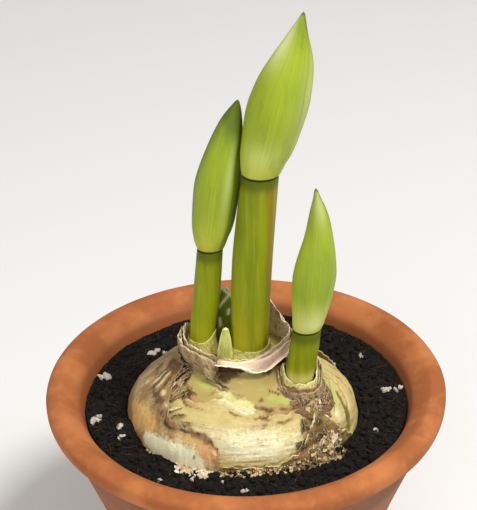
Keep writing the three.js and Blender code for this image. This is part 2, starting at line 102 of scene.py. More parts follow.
MM = 0.001  # sizes are given in millimetres
POT_HEIGHT = 100
RIM_RADIUS = 80
RIM_ROUND = 3.7
RIM_DEPTH = 9.5
CROWN_RADIUS = 74
LIP_RADIUS = 66.2
LIP_DROP = 6.2
NECK_RADIUS = 74.5
BASE_RADIUS = 44
BASE_ROUND = 1.5
WALL = 7.5
FLOOR = 8
FLOOR_FILLET = 2
DRAIN_RADIUS = 8
OUTER_BELLY = (58.6, 50)
INNER_BELLY = (52.5, 50)
POT_TURNS = 120  # sections round the pot
POT_UNEVEN = 0.25
CLAY = (186, 112, 58)
CLAY_PALE = (194, 128, 80)
CLAY_DARK = (156, 86, 40)
# The damp and stain colours also carry painted shade, inside the pot and under the rim.
CLAY_DAMP_AND_SHADE = (140, 78, 34)
CLAY_STAIN_AND_SHADE = (120, 78, 58)


class Shade:
    """A value, colour or place in a material's nodes. Arithmetic on values adds Math nodes."""

    def __init__(self, tree, socket=None):
        self.tree = tree
        self.socket = socket

    def node(self, kind, settings=None, inputs=None, output=0):
        """Any node: its settings first, then the values or links of its sockets."""
        made = self.tree.nodes.new("ShaderNode" + kind)
        for key, value in (settings or {}).items():
            setattr(made, key, value)
        for key, value in (inputs or {}).items():
            if isinstance(value, Shade):
                self.tree.links.new(value.socket, made.inputs[key])
            else:
                made.inputs[key].default_value = value
        return Shade(self.tree, made.outputs[output])

    def math(self, operation, first, second):
        return self.node("Math", {"operation": operation}, {0: first, 1: second})

    def __add__(self, other):
        return self.math("ADD", self, other)

    def __sub__(self, other):
        return self.math("SUBTRACT", self, other)

    def __rsub__(self, other):
        return self.math("SUBTRACT", other, self)

    def __mul__(self, other):
        return self.math("MULTIPLY", self, other)

    __radd__ = __add__
    __rmul__ = __mul__

    def step(self, low, high):
        """0 below low and 1 above high, with a smooth rise between; turned round if low is higher."""
        return self.node("MapRange", {"interpolation_type": "SMOOTHSTEP"}, {0: self, 1: low, 2: high})

    def size(self):
        """This value without its sign."""
        return self.math("ABSOLUTE", self, 0)

    def mix(self, first, second):
        """The first colour where this value is 0 and the second where it is 1."""
        return self.node("Mix", {"data_type": "RGBA"}, {0: self, 6: first, 7: second}, output=2)

    def stretched(self, x, y, z):
        """This place with its sides multiplied."""
        return self.node("VectorMath", {"operation": "MULTIPLY"}, {0: self, 1: (x, y, z)})

    def part(self, axis):
        return self.node("SeparateXYZ", inputs={0: self}, output=axis)

    def cloud(self, size, detail=3, rough=0.55, warp=0.0):
        """Cloudy noise round 0.5 over this place, in patches of about this size."""
        return self.node("TexNoise", inputs={
            "Vector": self, "Scale": 1 / size, "Detail": detail, "Roughness": rough, "Distortion": warp})


def colour(red, green, blue):
    """A screen colour, each part from 0 to 255, as the linear colour that a shader takes."""
    def linear(part):
        part /= 255
        return part / 12.92 if part <= 0.04045 else ((part + 0.055) / 1.055) ** 2.4
    return (linear(red), linear(green), linear(blue), 1.0)


def new_finish(name):
    """A new material, the place on the surface in millimetres, and the surface's own map."""
    material = bpy.data.materials.new(name)
    material.use_nodes = True
    start = Shade(material.node_tree)
    place = start.node("TexCoord", output="Object").stretched(1 / MM, 1 / MM, 1 / MM)
    return material, place, start.node("TexCoord", output="UV")


def connect(material, tint, roughness, relief, depth, fixed=None):
    """Joins a finish to the material's shader. The relief from 0 to 1 is this many mm deep."""
    links = material.node_tree.links
    shader = material.node_tree.nodes["Principled BSDF"]
    bump = relief.node("Bump", inputs={"Height": relief, "Distance": depth * MM})
    links.new(tint.socket, shader.inputs["Base Color"])
    links.new(roughness.socket, shader.inputs["Roughness"])
    links.new(bump.socket, shader.inputs["Normal"])
    for socket, value in (fixed or {}).items():
        shader.inputs[socket].default_value = value
    return material


def bow(start, control, end, steps):
    """Points on a curve that leaves start towards control and ends at end."""
    points = []
    for step in range(1, steps + 1):
        share = step / steps
        weights = ((1 - share) ** 2, 2 * share * (1 - share), share**2)
        points.append(tuple(
            sum(weight * point[axis] for weight, point in zip(weights, (start, control, end)))
            for axis in (0, 1)))
    return points


def use_only(piece):
    """Makes one piece the selected and active one."""
    bpy.ops.object.select_all(action="DESELECT")
    piece.select_set(True)
    bpy.context.view_layer.objects.active = piece


def weld(piece, outward=False):
    """Merges corners that lie together, and turns all faces outward if asked."""
    use_only(piece)
    bpy.ops.object.mode_set(mode="EDIT")
    bpy.ops.mesh.select_all(action="SELECT")
    bpy.ops.mesh.remove_doubles(threshold=0.002 * MM)
    if outward:
        bpy.ops.mesh.normals_make_consistent(inside=False)
    bpy.ops.object.mode_set(mode="OBJECT")


def modify(piece, kind, **settings):
    """Adds a modifier with these settings and applies it."""
    use_only(piece)
    modifier = piece.modifiers.new(kind.lower(), kind)
    for key, value in settings.items():
        setattr(modifier, key, value)
    bpy.ops.object.modifier_apply(modifier=modifier.name)


def soften(piece, angle=180):
    """Smooth shading, except over edges sharper than this many degrees."""
    use_only(piece)
    bpy.ops.object.shade_smooth_by_angle(angle=math.radians(angle))


def hand_over(piece, material, slot, *nodes):
    """Gives a finished piece its material and its body, and hides the nodes that it stands for. The slot is not used.
    """
    piece.data.materials.clear()
    piece.data.materials.append(material)
    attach(piece, "root")
    if nodes:
        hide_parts(*nodes)


def pot_outline():
    """The pot's section as a closed outline of (radius, height) points."""
    outline = [(DRAIN_RADIUS, 0), (20, 0), (BASE_RADIUS - BASE_ROUND, 0), (BASE_RADIUS, BASE_ROUND)]
    for control, end, steps in [
        (OUTER_BELLY, (NECK_RADIUS, POT_HEIGHT - RIM_DEPTH - 2), 14),
        ((NECK_RADIUS + 0.2, POT_HEIGHT - RIM_DEPTH), (NECK_RADIUS + 2, POT_HEIGHT - RIM_DEPTH), 3),
        ((RIM_RADIUS, POT_HEIGHT - RIM_DEPTH + 0.4), (RIM_RADIUS, POT_HEIGHT - RIM_ROUND), 6),
        ((RIM_RADIUS, POT_HEIGHT), (CROWN_RADIUS, POT_HEIGHT), 8),
        ((LIP_RADIUS + 3.6, POT_HEIGHT - 2.2), (LIP_RADIUS, POT_HEIGHT - LIP_DROP), 8),
        (INNER_BELLY, (BASE_RADIUS - WALL, FLOOR + FLOOR_FILLET), 12),
        ((BASE_RADIUS - WALL, FLOOR), (BASE_RADIUS - WALL - FLOOR_FILLET, FLOOR), 3),
        ((20, FLOOR), (DRAIN_RADIUS, FLOOR), 2),
    ]:
        outline += bow(outline[-1], control, end, steps)
    return outline


outline = pot_outline()
bpy.ops.mesh.primitive_circle_add(vertices=len(outline), fill_type="NOTHING")
pot = bpy.context.object
pot.name = "terracotta_pot_turned"
for vertex, (radius, height) in zip(pot.data.vertices, outline):
    vertex.co = Vector((radius, 0, height)) * MM
bpy.ops.object.mode_set(mode="EDIT")
bpy.ops.mesh.select_all(action="SELECT")
bpy.ops.mesh.spin(steps=POT_TURNS, angle=2 * math.pi, center=(0, 0, 0), axis=(0, 0, 1))
bpy.ops.object.mode_set(mode="OBJECT")
weld(pot, outward=True)
modify(pot, "SUBSURF", levels=1, render_levels=1)
for vertex in pot.data.vertices:
    wobble = noise.noise(vertex.co / (26 * MM)) * POT_UNEVEN * MM
    inset = min(1, vertex.co.z / (4 * MM))
    away = Vector((vertex.co.x, vertex.co.y, 0)).normalized()
    vertex.co -= away * (abs(wobble) * inset)
soften(pot)


def terracotta():
    """Fired clay: mottled orange, paler bloom, fine grit, and damp stains inside and under the rim, which also carry
    painted shade.
    """
    material, place, _ = new_finish("terracotta_fired")
    blotches = place.cloud(22, detail=4).step(0.38, 0.66)
    bloom = place.cloud(7, detail=5, rough=0.65).step(0.52, 0.78)
    grit = place.cloud(0.5, detail=2)
    turning = place.stretched(0.12, 0.12, 1).cloud(1.6, detail=2)
    tint = blotches.mix(colour(*CLAY_DARK), colour(*CLAY))
    tint = (bloom * 0.45).mix(tint, colour(*CLAY_PALE))
    tint = (grit.step(0.63, 0.75) * 0.35).mix(tint, colour(120, 60, 32))
    spread = place.stretched(1, 1, 0).node("VectorMath", {"operation": "LENGTH"}, {0: place.stretched(1, 1, 0)},
                                           output="Value")
    inside = spread.step(LIP_RADIUS + 3.8, LIP_RADIUS - 0.4)
    # Inner slope and wall: damp darkening that is partly painted shade; the lower roughness further down is the real
    # wetness.
    damp_and_shade = inside * (place.part(2) + 3 * place.cloud(5)).step(POT_HEIGHT + 1, POT_HEIGHT - 6)
    tint = (damp_and_shade * 0.85).mix(tint, colour(*CLAY_DAMP_AND_SHADE))
    # Under the rim: painted shade on the body, greyer and darker, with some damp staining.
    below = (place.part(2) + 2 * place.cloud(6)).step(POT_HEIGHT - RIM_DEPTH + 0.6, POT_HEIGHT - RIM_DEPTH - 2)
    stain = below * (1 - inside) * (0.5 + 0.6 * place.cloud(16, detail=4))
    tint = stain.mix(tint, colour(*CLAY_STAIN_AND_SHADE))
    roughness = 0.92 - 0.22 * damp_and_shade - 0.1 * grit
    relief = 0.5 * grit + 0.3 * turning + 0.2 * bloom
    return connect(material, tint, roughness, relief, 0.22)


hand_over(pot, terracotta(), "terracotta", "terracotta_pot")

# ---------------------------------------------------------------- bulb surface
# The bulb is a squat oval, wider than it is deep, that draws in to an oval nose. Its soil,
# scales and skins all follow this one surface.

BULB_X = -0.8
BULB_Y = -7
BULB_DEPTH = 0.86
BULB_PROFILE = [  # height from the rim's crown, half-width
    (-46, 10), (-44, 19), (-38, 31), (-28, 40), (-18, 44.4), (-9, 45.6), (-2, 44.4), (5, 40.4),
    (11, 33.8), (15, 27), (17.4, 22)]
NOSE_X = -3.2
NOSE_Y = -6.6
NOSE_WIDTH = 20.6
NOSE_DEPTH = 12.8
NOSE_FOOT = 17.9
NOSE_TOP = 20.4
SIDE_NOSE = (20.9, -20)  # where the right stalk breaks through the shoulder
SLUMPS = [(25, 32, 2.5), (152, 36, 1.9)]  # angle, reach and depth of the two shoulders' hollows behind


def smooth(low, high, value):
    share = min(1, max(0, (value - low) / (high - low)))
    return share * share * (3 - 2 * share)


def blend(first, second, share):
    return first + (second - first) * share


def along(rows, place):
    """The value at a place in (place, value) rows, on a smooth curve through them."""
    if place <= rows[0][0]:
        return rows[0][1]
    if place >= rows[-1][0]:
        return rows[-1][1]
    k = 0
    while rows[k + 1][0] < place:
        k += 1
    run = rows[k + 1][0] - rows[k][0]

    def slope(i):
        before, after = rows[max(i - 1, 0)], rows[min(i + 1, len(rows) - 1)]
        return (after[1] - before[1]) / (after[0] - before[0])

    t = (place - rows[k][0]) / run
    return ((2 * t**3 - 3 * t**2 + 1) * rows[k][1] + (t**3 - 2 * t**2 + t) * run * slope(k)
            + (3 * t**2 - 2 * t**3) * rows[k + 1][1] + (t**3 - t**2) * run * slope(k + 1))


def oval_at(height):
    """Middle and depth of the bulb's level section, which turns into the nose's towards the top."""
    nose = smooth(10, 18, height)
    depth = blend(BULB_DEPTH, NOSE_DEPTH / NOSE_WIDTH, nose)
    return blend(BULB_X, NOSE_X, nose), blend(BULB_Y, NOSE_Y, nose), depth


def ring_place(angle, radius, height):
    """A point on the oval of this half-width, at an angle in degrees."""
    x, y, depth = oval_at(height)
    turn = math.radians(angle)
    return x + radius * math.cos(turn), y + radius * depth * math.sin(turn), POT_HEIGHT + height


def slump(angle, height):
    """How far the shoulders behind, at both sides of the nose, lie inside the plain oval."""
    total = 0
    for at, reach, depth in SLUMPS:
        away = (angle - at + 180) % 360 - 180
        total += depth * math.exp(-((away / reach) ** 2))
    return total * smooth(-4, 8, height) * smooth(17.4, 14.5, height)


def bulb_place(angle, height, out):
    """A point on the bulb at an angle and a height from the crown, moved out along its normal."""
    out -= slump(angle, height)
    slope = (along(BULB_PROFILE, height + 0.5) - along(BULB_PROFILE, height - 0.5))
    length = math.hypot(1, slope)
    radius = along(BULB_PROFILE, height) + out / length
    return ring_place(angle, radius, height - out * slope / length)


def bulb_angle(place):
    """The angle in degrees, from -180 to 180, at which a point lies round the bulb."""
    x, y, depth = oval_at(place[2] - POT_HEIGHT)
    return math.degrees(math.atan2((place[1] - y) / depth, place[0] - x))


def clear_of_side_nose(place):
    """0 at the second nose and 1 a little way off, so that the scales smooth out towards it."""
    return smooth(10.5, 15, math.hypot(place[0] - SIDE_NOSE[0], place[1] - SIDE_NOSE[1]))


def ragged(place, size, seed):
    """Torn unevenness round 0 for a point, coarse and fine together."""
    at = Vector(place) / size + Vector((seed * 7.3, seed * 1.7, seed * 3.1))
    return noise.noise(at) + 0.5 * noise.noise(at * 2.3) + 0.3 * noise.noise(at * 5.1)


def grid_piece(name, columns, rows, place, ring=False):
    """A sheet from a grid, with each corner at place(u, v) in mm; a ring's two ends are welded."""
    bpy.ops.mesh.primitive_grid_add(x_subdivisions=columns, y_subdivisions=rows, size=1)
    piece = bpy.context.object
    piece.name = name
    for vertex in piece.data.vertices:
        vertex.co = Vector(place(vertex.co.x + 0.5, vertex.co.y + 0.5)) * MM
    if ring:
        weld(piece)
    return piece


def join_as(name, pieces):
    """Makes several pieces one, under this name."""
    bpy.ops.object.select_all(action="DESELECT")
    for piece in pieces:
        piece.select_set(True)
    bpy.context.view_layer.objects.active = pieces[0]
    if len(pieces) > 1:
        bpy.ops.object.join()
    pieces[0].name = name
    return pieces[0]


def mark(piece, name, rule):
    """Writes rule(place in mm) on each corner, for the material to read."""
    values = piece.data.attributes.new(name, "FLOAT", "POINT")
    for corner, vertex in zip(values.data, piece.data.vertices):
        corner.value = rule(vertex.co / MM)


def spots(marks, place):
    """How strongly a point of the bulb lies in a list of (angle, height, angle's reach, height's
    reach, strength) marks."""
    angle = bulb_angle(place)
    height = place[2] - POT_HEIGHT
    total = 0
    for at, level, wide, tall, strength in marks:
        away = (angle - at + 180) % 360 - 180
        total += strength * math.exp(-((away / wide) ** 2) - ((height - level) / tall) ** 2)
    return min(1, total)


# ---------------------------------------------------------------- soil
# Moist dark potting mix fills the pot to a finger's width under the rim. Its top is crumbly,
# with loose clods, peat fibres and white perlite grains lying on it.

SOIL_TOP = -10.5
SOIL_EDGE = 64.5
SOIL_COLUMNS = 420
SOIL_ROWS = 96
SOIL_SURFACE = (0.18, 0.86)  # share of the rows that make the open surface
SOIL_FLOOR = 8.3
HEAP = (-42.5, -18, 5, 8.5)  # x, y, height and reach of the soil banked against the bulb's left
CLODS = 1300
CLOD_SIZE = (0.35, 1.4)
FIBRES = 150
PERLITE = [  # x, y, size
    (-58, 19, 2.3), (-60, -10, 2.5), (-50.5, -18, 1.7), (-49.5, -23, 1.6), (-39, 36, 1.5),
    (-36.5, 38.5, 1.3), (-33.6, 36.9, 1.2), (57, 6.5, 1.7), (61.7, 7.1, 1.5), (-33, -50.5, 1.2),
    (-20.1, -48.7, 1.3), (-8.7, -51.4, 1.1), (-1, -57, 1.1), (36, 26, 1.3), (12, 47, 1.9),
    (-18, 52, 1.6), (48, 31, 1.4), (51, -20, 1.0), (30, 47, 1.2)]
SOIL_BLACK = (15, 12, 8)
SOIL_BROWN = (60, 46, 30)
SOIL_BLUE = (26, 25, 28)
PERLITE_WHITE = (204, 194, 182)


def soil_height(x, y):
    """Height of the soil's surface: broad swells, clods and fine crumbs, and a heap by the bulb."""
    at = Vector((x, y, 0))
    clods = noise.voronoi(at / 3.6)[0][0]
    crumbs = noise.voronoi(at / 1.5)[0][0]
    swell = noise.noise(at / 17)
    fine = noise.noise(at / 0.9)
    heap = HEAP[2] * math.exp(-((x - HEAP[0]) ** 2 + (y - HEAP[1]) ** 2) / HEAP[3] ** 2)
    return SOIL_TOP + 0.7 * swell + 0.9 * (0.45 - clods) + 0.6 * (0.45 - crumbs) + 0.15 * fine + heap


def inner_wall(height):
    """The pot's inner radius at a height above its base."""
    wall = [(LIP_RADIUS, POT_HEIGHT - LIP_DROP)]
    wall += bow(wall[0], INNER_BELLY, (BASE_RADIUS - WALL, FLOOR + FLOOR_FILLET), 20)
    return along([(level, radius) for radius, level in reversed(wall)], height)


def soil_place(u, v):
    """Round the soil, from the middle of its floor up the wall, over the top and under the bulb."""
    angle = 360 * u
    low, high = SOIL_SURFACE
    turn = math.radians(angle)
    if v < low:
        share = v / low
        height = blend(SOIL_FLOOR, POT_HEIGHT + SOIL_TOP - 1.2, max(0, (share - 0.2) / 0.8))
        floor_share = min(1, share / 0.2)
        radius = (inner_wall(max(height, FLOOR + FLOOR_FILLET)) - 0.4) * floor_share
        return radius * math.cos(turn), radius * math.sin(turn), height
    inner = ring_place(angle, along(BULB_PROFILE, SOIL_TOP) + 0.3, SOIL_TOP)
    if v <= high:
        share = (v - low) / (high - low)
        x = blend(SOIL_EDGE * math.cos(turn), inner[0], share)
        y = blend(SOIL_EDGE * math.sin(turn), inner[1], share)
        banked = 1.3 * (1 - smooth(0, 0.09, share)) + 0.8 * smooth(0.93, 1, share)
        return x, y, POT_HEIGHT + soil_height(x, y) + banked
    share = (v - high) / (1 - high)
    height = blend(SOIL_TOP - 3, BULB_PROFILE[0][0], min(1, share * 1.25))
    closing = 1 - smooth(0.8, 1, share)
    radius = (along(BULB_PROFILE, height) + 0.3) * closing
    return ring_place(angle, radius, height - 0.4)


def soil_finish(name, dark, light, cool):
    """Near-black crumbs with brown and bluish specks and a dull, uneven moisture."""
    material, place, _ = new_finish(name)
    specks = place.cloud(1.4, detail=4, rough=0.7)
    patches = place.cloud(9, detail=3)
    tint = specks.step(0.52, 0.72).mix(colour(*dark), colour(*light))
    tint = (patches.step(0.5, 0.7) * 0.4).mix(tint, colour(*cool))
    roughness = 0.98 - 0.28 * place.cloud(2.2).step(0.5, 0.75)
    relief = specks + 0.7 * place.cloud(0.5, detail=4, rough=0.7)
    return connect(material, tint, roughness, relief, 0.7, {"Specular IOR Level": 0.25})


soil = grid_piece("potting_soil_crumbly", SOIL_COLUMNS, SOIL_ROWS, soil_place, ring=True)
weld(soil, outward=True)
soften(soil, 60)
soil_paint = soil_finish("soil_moist", SOIL_BLACK, SOIL_BROWN, SOIL_BLUE)
hand_over(soil, soil_paint, "soil", "potting_soil")


def lump(name, seed, flat):
    """A knobbly crumb about 2 across: a cube cut once and rounded, then pushed about."""
    bpy.ops.mesh.primitive_cube_add(size=1.5 * MM)
    piece = bpy.context.object
    piece.name = name
    bpy.ops.object.mode_set(mode="EDIT")
    bpy.ops.mesh.select_all(action="SELECT")
    bpy.ops.mesh.subdivide(number_cuts=1, smoothness=1)
    bpy.ops.object.mode_set(mode="OBJECT")
    for vertex in piece.data.vertices:
        vertex.co *= 1 + 0.35 * noise.noise(vertex.co / MM * 1.1 + Vector((seed, 0, 0)))
        vertex.co.z *= flat
    return piece


def scatter(name, models, places, tones=None):
    """Copies of the models, each with its own mesh, at (centre in mm, size, turn) places, as one piece.
    Each copy's tone, from 0 to 1, is written on it for its material."""
    copies = []
    for k, (centre, size, turn) in enumerate(places):
        model = models[k % len(models)]
        copy = bpy.data.objects.new(name, model.data.copy())
        copy.data.transform(Matrix.Translation(Vector(centre) * MM) @ turn @ Matrix.Scale(size, 4))
        mark(copy, "tone", lambda _, tone=tones[k] if tones else (k * 0.618) % 1: tone)
        bpy.context.collection.objects.link(copy)
        copies.append(copy)
    for model in models:
        bpy.data.objects.remove(model)
    return join_as(name, copies)


def any_turn(draw):
    """A random turn in every direction."""
    turn = Matrix.Identity(4)
    for axis in "XYZ":
        turn = turn @ Matrix.Rotation(draw.uniform(0, 2 * math.pi), 4, axis)
    return turn


def open_soil_spot(draw, margin):
    """A random point on the open soil, this far from the wall and the bulb."""
    while True:
        x = draw.uniform(-SOIL_EDGE, SOIL_EDGE)
        y = draw.uniform(-SOIL_EDGE, SOIL_EDGE)
        off_bulb = math.hypot(x - BULB_X, (y - BULB_Y) / BULB_DEPTH) > 45.6 + margin
        if off_bulb and math.hypot(x, y) < SOIL_EDGE - margin:
            return x, y


draw = random.Random(41)
places = []
for _ in range(CLODS):
    x, y = open_soil_spot(draw, 0.8)
    size = CLOD_SIZE[0] + (CLOD_SIZE[1] - CLOD_SIZE[0]) * draw.random() ** 2.6
    height = POT_HEIGHT + soil_height(x, y) + 0.35 * size
    places.append(((x, y, height), size, any_turn(draw)))
clods = scatter("soil_clods", [lump("clod", seed, 0.8) for seed in range(5)], places)
soften(clods, 50)
hand_over(clods, soil_finish("soil_clod", (19, 15, 11), (62, 47, 32), (30, 28, 31)), "soil")

draw = random.Random(9)
bpy.ops.mesh.primitive_grid_add(x_subdivisions=6, y_subdivisions=1, size=1)
fibre = bpy.context.object
for vertex in fibre.data.vertices:
    x, y = vertex.co.x, vertex.co.y
    vertex.co = Vector((x * 4.5, y * 0.28 + 1.1 * x * x, 0.35 * math.sin(5 * x))) * MM
modify(fibre, "SOLIDIFY", thickness=0.2 * MM)
places = []
for _ in range(FIBRES):
    x, y = open_soil_spot(draw, 2.6)
    lean = Matrix.Rotation(draw.uniform(-0.25, 0.25), 4, "Y")
    turn = Matrix.Rotation(draw.uniform(0, 2 * math.pi), 4, "Z") @ lean
    places.append(((x, y, POT_HEIGHT + soil_height(x, y) + 0.75), draw.uniform(0.5, 1.2), turn))
fibres = scatter("peat_fibres", [fibre], places)
hand_over(fibres, soil_finish("peat_fibre", (60, 44, 28), (104, 80, 52), (48, 40, 32)), "soil")


def perlite_finish():
    """Puffed white glass rock: chalky and pitted, with grey dirt from the soil."""
    material, place, _ = new_finish("perlite_chalky")
    dirt = place.cloud(1.1, detail=4, rough=0.7).step(0.42, 0.7)
    tint = (dirt * 0.6).mix(colour(*PERLITE_WHITE), colour(128, 116, 104))
    return connect(material, tint, 0.85 + 0.1 * dirt, place.cloud(0.45, detail=3), 0.3)


draw = random.Random(3)
places = []
for x, y, size in PERLITE:
    for _ in range(4):
        at_x = x + size * draw.uniform(-1, 1)
        at_y = y + size * draw.uniform(-0.7, 0.7)
        chip = size * draw.uniform(0.3, 0.75)
        places.append(((at_x, at_y, POT_HEIGHT + soil_height(at_x, at_y) + 0.4 * chip), chip, any_turn(draw)))
perlite = scatter("perlite_grains", [lump("grain", seed + 0.5, 0.6) for seed in range(4)], places)
soften(perlite, 40)
hand_over(perlite, perlite_finish(), "soil")

# ---------------------------------------------------------------- bulb
# One grown body of fleshy scales wrapped round each other, each torn off at a different
# height. The inner ones are greener and the outermost shreds are dry. Roots leave its base.

CORE_COLUMNS = 260
CORE_ROWS = 120
LAYER_STEP = 1.1  # from the outside of one scale to the next
PAINT_GRAIN = 1.35  # how far the edges of the painted places are broken up
OUTER_EDGE = [  # top edge of the broad cream scale: angle, height
    (-180, 12.5), (-150, 12), (-134, 12.3), (-122, 12.2), (-112, 13.2), (-102, 13.5), (-94, 12.9),
    (-86, 11.8), (-78, 10.8), (-69, 9.7), (-60, 9.2), (-54, 9.2), (-45, 9.8), (-35, 10.8), (-20, 13),
    (0, 14), (20, 14.5), (40, 14), (90, 14), (150, 13.6), (180, 12.5)]
INNER_EDGE = [(-180, 17.3), (-60, 17), (-30, 16.5), (20, 16.5), (180, 17.3)]  # the greener one inside it
SHRED_EDGE = [  # dry shreds of the outermost scale, above the soil in front
    (-112, -9.4), (-104, -8.6), (-96, -7.6), (-88, -7.9), (-80, -7.6), (-72, -7), (-66, -5.4),
    (-61, -2.4), (-57, 0.6), (-52, 4.6), (-45, 7), (-40, 4.6), (-36, -0.5), (-32, -4.6), (-26, -8.5),
    (-16, -11.5), (-12, -12)]
STROKES = [  # width, strength and the (angle, height) places that a shallow dark line runs through
    (0.6, 1.3, [(-121, 16.7), (-113, 16), (-106, 15.6), (-99, 15.4)]),
    (0.6, 0.8, [(-103, 11), (-96, 9.2), (-90, 8.4), (-83, 8.2), (-78, 8.6)]),
    (0.5, 0.8, [(-131, 9), (-120, 9.9), (-110, 10.4), (-104, 9.8)]), (0.5, 1.3, [(-80, 8.6), (-74, 8.4)]),
    (1.4, 0.55, [(-79, 7.2), (-73, 6.2), (-65, 6), (-58, 6.5)]),
    (0.8, 1.3, [(-80, 10.6), (-71, 9.6), (-61, 9.1), (-52, 8.8)]),
    (0.9, 1.1, [(-81, 10.8), (-79, 11.4), (-76, 12)]), (0.6, 1.5, [(-66, 13.4), (-57, 12.6), (-52, 11.4)]),
    (0.9, 0.45, [(-92, 6.4), (-84, 5.4), (-78, 5.6)]), (0.6, 1.2, [(-140, 11.4), (-134, 10), (-127, 9.6)])]
CREASES = [  # folds down the right side: angle 5 mm up, drift a mm, lowest, highest, width, depth
    (-33, 2.1, 3, 12, 2.2, 1.1), (-25, 2, 2.6, 8, 1.4, 1.1), (-17, 0.45, -9, 5, 2.2, 0.9),
    (-8, 1.2, -8, 12, 2, 0.5), (7, 0.8, -3, 12, 2.4, 0.5), (24, 0.4, -8, 6, 3, 0.4)]
PAINT = {  # angle, height, reach round, reach up, strength of each painted place
    "bright": [
        (-84, -0.4, 26, 6.2, 1.15), (-112, 4, 16, 2.4, 0.4), (-20, -1, 12, 6, 0.4), (-110, 13.5, 7, 1, 0.9),
        (-102, 12.6, 6, 0.9, 0.8), (-95, 11.8, 6, 1, 1), (-88, 10.9, 6, 1.1, 1.3), (-30, 1, 4, 4, 0.5)],
    "green": [
        (-125, 14.7, 11, 1.9, 1.1), (-84, 18, 9, 1, 1.2), (-65, 11.9, 6, 1.1, 1.1), (-58, 11, 4, 0.9, 0.9),
        (-20, 9, 9, 5, 0.7), (-26, 2, 7, 6, 0.5), (18, 10, 26, 6, 0.6), (-93, 11.5, 12, 1.4, 0.35)],
    "tan": [
        (-90, 15.8, 17, 1.6, 1.1), (-58, 15.4, 16, 1.3, 0.9), (-122, 17.4, 12, 1, 0.6),
        (-34, 8.5, 6, 3, 0.8), (-73, 8, 9, 0.7, 0.5), (-103, 9, 14, 0.5, 0.4), (-84, -9.4, 34, 1.2, 0.8),
        (-46, -6, 9, 3, 0.8), (-24, -6, 9, 3, 0.9), (-100, 17, 6, 1, 0.8), (-31, 12, 7, 2, 0.6)],
    "olive": [(-50, 2.8, 6, 3, 1.5), (-46, -1.4, 6, 2.4, 1.1), (-38, 6, 3, 1.4, 0.7), (-60, -4, 4, 1.6, 0.8)],
    "rust": [
        (-134, 11.2, 5, 1.1, 0.9), (-127, 10.4, 5, 0.9, 0.9), (-69, 9.4, 13, 0.8, 0.9), (-56, 8.5, 5, 1.1, 1.2),
        (-84, 6.6, 9, 0.5, 0.5), (-62, -5.8, 5, 1.7, 1), (-84, 8.6, 10, 0.35, 0.45), (-66, 6.9, 8, 0.5, 0.5)],
    "paper": [(172, 14, 26, 5, 1.1), (-163, 14, 12, 4, 1.1), (-150, 17.4, 14, 1.2, 0.8), (90, 14, 60, 4, 0.7)],
    # The dark places just under the collar and band, and on the shreds below the second nose, are painted shade; the
    # rest are dark marks and soil smudges on the skin.
    "dark": [
        (-147, 14.4, 3.4, 1.9, 1.3), (-138, 11.6, 5, 0.9, 0.9), (-130, 11.8, 4, 0.5, 0.6), (-124, 9.4, 4, 0.5, 0.5),
        (-44, 11.4, 9, 1.8, 1.1), (-35, 9.6, 4, 1.6, 1), (-30, 12.6, 7, 2, 1), (-18, 14.4, 8, 1.4, 1), (-14, 12, 3, 2.4, 0.6), (-52, 9.9, 5, 0.9, 0.7),
        (-88, -0.6, 3, 0.3, 0.5), (-55, 3.6, 2, 2.6, 0.9), (-50, -2.4, 7, 1.3, 0.9), (-61, -2.6, 3.4, 1.5, 1),
        (-47, 3.2, 4, 2, 0.9), (-44, -1, 3, 1.6, 0.7), (-23, -4, 2, 2, 0.6), (-39, 5, 4, 0.6, 0.8), (-152, 11, 3, 1.3, 0.6),
        (-76, 9.1, 4, 0.3, 0.7), (-105, 16.5, 5, 1.3, 1.8), (-95, 17.2, 9, 0.9, 1.7), (-62, 17.4, 11, 1, 1.5),
        (-80, -8.3, 1.6, 0.5, 1), (-94, -7.9, 3, 0.4, 0.9)]}
CREAM = (246, 237, 198)
CREAM_DEEP = (202, 182, 118)
STREAK_TAN = (180, 152, 92)
SCALE_GREEN = (172, 182, 88)
SCALE_TAN = (164, 144, 78)
SCALE_OLIVE = (104, 84, 42)
SCALE_RUST = (186, 132, 90)
PAPER_LIGHT = (180, 152, 106)
PAPER_DARK = (112, 84, 50)
RIM_CREAM = (246, 234, 188)
BARK_BROWN = (70, 46, 14)
LINE_BROWN = (124, 92, 50)
FOLD_SHADE_OLIVE = (112, 98, 38)


def layer_out(layer, height, place):
    """How far a scale's outside lies from the bulb's full surface, counted from the outermost."""
    gap = blend(0.16, LAYER_STEP, clear_of_side_nose(place))
    return (-0.2 - gap * layer) * smooth(-14, -6, height)


def wrinkles(place, amount):
    """Fine growth lines that run round the bulb, and a few broad swells."""
    lines = noise.noise(Vector((place[0] * 0.09, place[1] * 0.09, place[2] * 0.85)))
    swell = noise.noise(Vector(place) / 11)
    knobs = noise.noise(Vector(place) / 3.5)
    return amount * (0.6 * lines + 0.8 * swell + 0.35 * knobs)


def crease_depth(angle, height):
    """Folds that run down the bulb's right side."""
    total = 0
    if abs(angle) > 75:
        return total
    for at, drift, low, high, width, depth in CREASES:
        ends = smooth(low - 2, low + 1, height) * (1 - smooth(high - 1, high + 2, height))
        away = angle - at - drift * (height - 5) - 2.5 * noise.noise(Vector((at, height / 4, 0)))
        total += depth * ends * math.exp(-((away / width) ** 2))
    return total


STROKE_PLACES = [
    (width, strength, [Vector(bulb_place(angle, height, 0)) for angle, height in row])
    for width, strength, row in STROKES]


